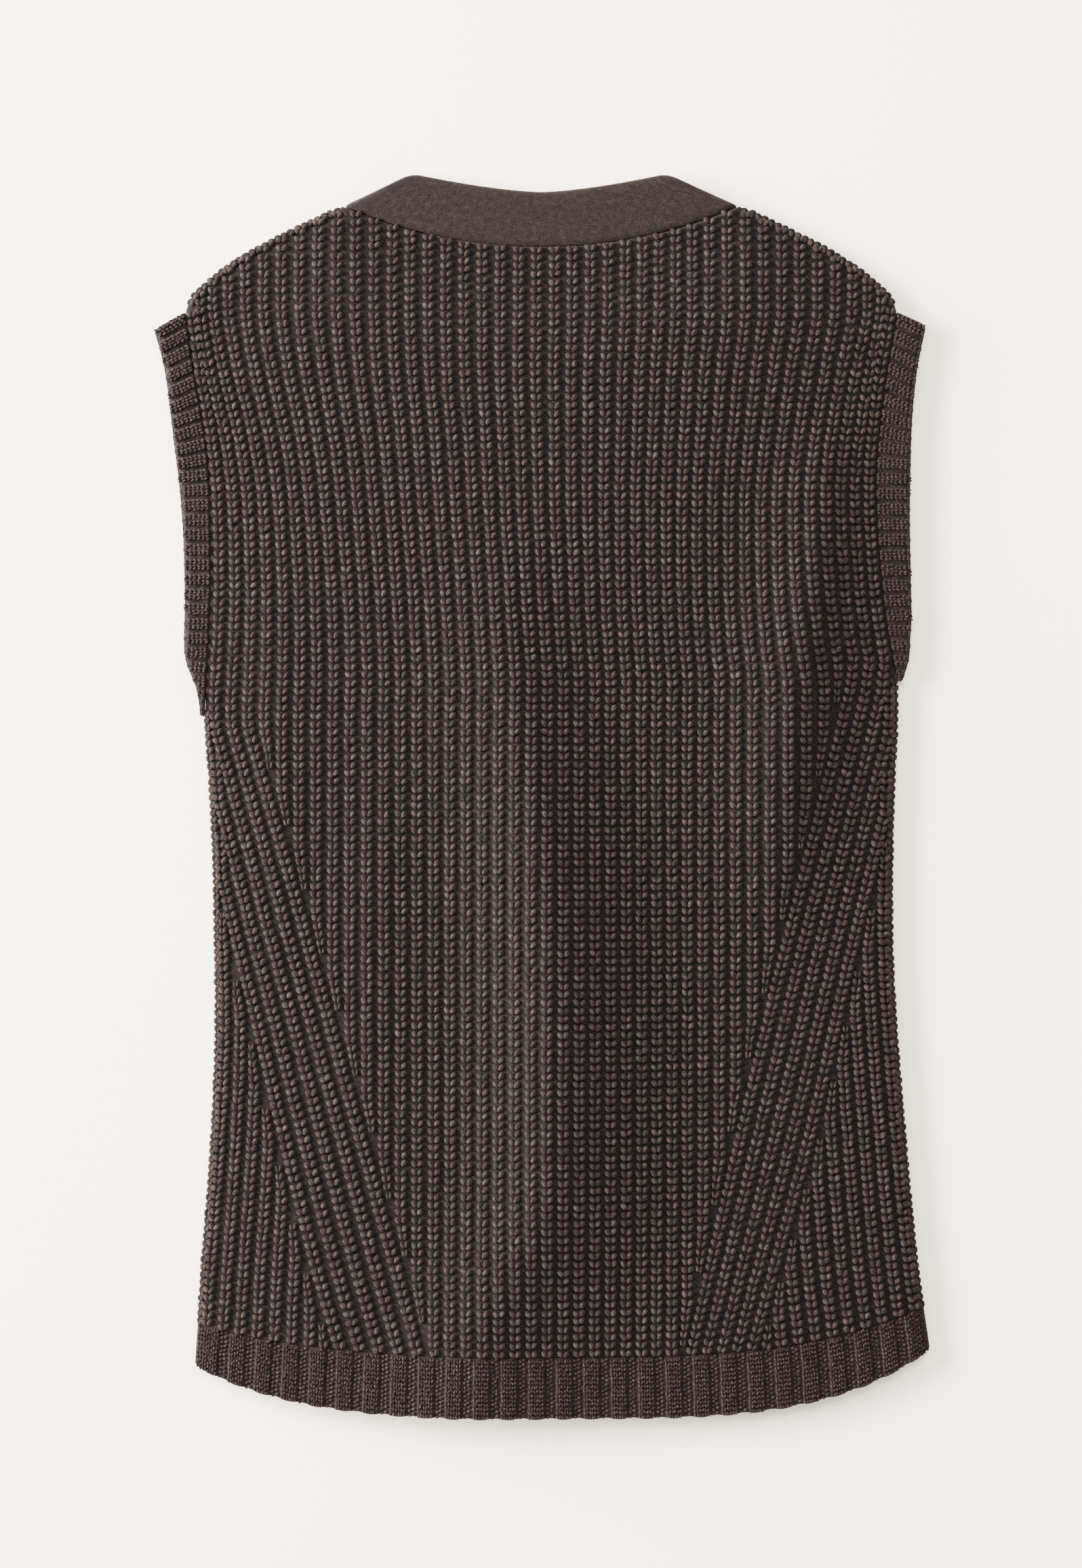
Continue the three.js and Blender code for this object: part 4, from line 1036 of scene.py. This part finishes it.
def neck_run(low):
    """The neckband's seam edge and free edge along the back's neck, or along the front's V."""
    seam_y, free_y, seam_curve, free_curve = (
        (V_SEAM_Y, V_FREE_Y, V_CURVE, V_CURVE) if low
        else (NECK_SEAM_Y, NECK_FREE_Y, NECK_SEAM_CURVE, NECK_FREE_CURVE))
    u_even = np.linspace(-1, 1, 2001)
    x_even = across_x(u_even, SHOULDER_TIP_Y)

    def run(along):
        t = 2 * along - 1
        u = np.interp(NECK_X + NECK_HALF * t, x_even, u_even)
        top = mix(seam_y, NECK_Y, np.abs(t) ** seam_curve)
        seam = np.stack([across_x(u, top), top + 1.6 * SEAM_GAP], -1)
        straight = mix(across_x(0.0, seam_y), NECK_X - 1, np.abs(t))
        rise = NECK_FREE_Y + NECK_FREE_RISE - free_y
        corner = np.clip((np.abs(t) - NECK_CORNER_FROM) / (1 - NECK_CORNER_FROM), 0, 1)
        free_y_at = free_y + rise * np.abs(t) ** free_curve - NECK_CORNER_DROP * corner ** 2
        free = np.stack([straight + NECK_FREE_HALF * t, free_y_at], -1)
        return seam, free
    return run


class VEST_OT_neckband(bpy.types.Operator):
    """Makes the smooth band round the neck"""

    bl_idname = "vest.neckband"
    bl_label = "Neckband"

    def execute(self, context):
        def relief(t):
            return 0 * t, 0 * t

        knitting = wool("neck_knit", 0.1, 0.75, 0.45, shade=0.46, streak=1.9)
        profile = rounded_profile(FOLD_HEIGHT - 0.1, FOLD_HEIGHT - 2.9, 1.3, 1.6)
        band = turned_band("neckband_wall", neck_run(False), neck_run(True), 2 * NECK_HALF, profile,
                           relief, 160, slot="neckband_knit", material=knitting)
        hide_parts("neckband")
        return {"FINISHED"}


FLOOR_HALF, FLOOR_BELOW = 6.0, 0.0005  # metres, as are the lights and the camera
# The lights look at the vest's middle. Columns: name, place, size, watts
LIGHTS = (
    ("key_light", (-2.6, 0.7, 1.05), (2.2, 1.6), 1050),
    ("top_light", (0.2, 1.7, 3.6), (1.8, 1.8), 250),
)
LIGHT_COLOUR, SKY_COLOUR, SKY_STRENGTH = (1, 0.985, 0.965), (1, 0.99, 0.975, 1), 1.75
CAMERA_PLACE = (-0.0006, 0.0061, 2.6)
SENSOR, FRAMED_HEIGHT = 36, 0.87894  # millimetres, and how much of the floor the picture is high


def area_light(context, name, place, size, watts):
    """A soft oblong light that looks from its place at the origin."""
    lamp = bpy.data.lights.new(name, "AREA")
    lamp.shape, lamp.size, lamp.size_y = "RECTANGLE", size[0], size[1]
    lamp.energy, lamp.color = watts, LIGHT_COLOUR
    holder = bpy.data.objects.new(name, lamp)
    context.scene.collection.objects.link(holder)
    holder.location = place
    x, y, z = place
    holder.rotation_euler = (math.atan2(math.hypot(x, y), z), 0, math.atan2(x, -y))


class VEST_OT_stage(bpy.types.Operator):
    """Sets the pale floor, the soft light and the camera straight above"""

    bl_idname = "vest.stage"
    bl_label = "Floor, light and camera"

    def execute(self, context):
        mesh = bpy.data.meshes.new("floor")
        corners = [(x * FLOOR_HALF, y * FLOOR_HALF, 0) for x, y in ((-1, -1), (1, -1), (1, 1), (-1, 1))]
        mesh.from_pydata(corners, [], [(0, 1, 2, 3)])
        floor = bpy.data.objects.new("floor", mesh)
        context.scene.collection.objects.link(floor)
        floor.location.z = -FLOOR_BELOW
        tree = Tree("pale_floor")
        shader = tree.add("ShaderNodeBsdfPrincipled", None, {
            "Base Color": srgb(254, 242, 224), "Roughness": 0.9, "Specular IOR Level": 0.1}).out(0)
        tree.add("ShaderNodeOutputMaterial", None, {0: shader})
        mesh.materials.append(tree.material)

        world = bpy.data.worlds.new("studio")
        world.use_nodes = True
        background = world.node_tree.nodes["Background"]
        background.inputs[0].default_value = SKY_COLOUR
        background.inputs[1].default_value = SKY_STRENGTH
        context.scene.world = world
        for light in LIGHTS:
            area_light(context, *light)

        camera = bpy.data.cameras.new("camera")
        holder = bpy.data.objects.new("camera", camera)
        context.scene.collection.objects.link(holder)
        camera.sensor_width, camera.lens = SENSOR, SENSOR * CAMERA_PLACE[2] / FRAMED_HEIGHT
        camera.clip_start, camera.clip_end = 0.1, 20
        holder.location = CAMERA_PLACE
        context.scene.camera = holder
        return {"FINISHED"}


OPERATORS = (VEST_OT_back, VEST_OT_front, VEST_OT_hem, VEST_OT_armhole_bands, VEST_OT_neckband, VEST_OT_stage)


class VEST_PT_sidebar(bpy.types.Panel):
    """Lists the vest's pieces in the sidebar"""

    bl_idname = "VEST_PT_sidebar"
    bl_label = "Vest"
    bl_space_type = "VIEW_3D"
    bl_region_type = "UI"
    bl_category = "Vest"

    def draw(self, context):
        for name in VestSizes.__annotations__:
            self.layout.prop(context.scene.vest_sizes, name)
        for operator in OPERATORS:
            self.layout.operator(operator.bl_idname)


def register():
    for cls in (VestSizes, *OPERATORS, VEST_PT_sidebar):
        bpy.utils.register_class(cls)
    bpy.types.Scene.vest_sizes = bpy.props.PointerProperty(type=VestSizes)


def unregister():
    del bpy.types.Scene.vest_sizes
    for cls in reversed((VestSizes, *OPERATORS, VEST_PT_sidebar)):
        bpy.utils.unregister_class(cls)


def main():
    register()
    bpy.ops.vest.back()
    bpy.ops.vest.front()
    bpy.ops.vest.hem()
    bpy.ops.vest.armhole_bands()
    bpy.ops.vest.neckband()
    bpy.ops.vest.stage()


if __name__ == "__main__":
    main()
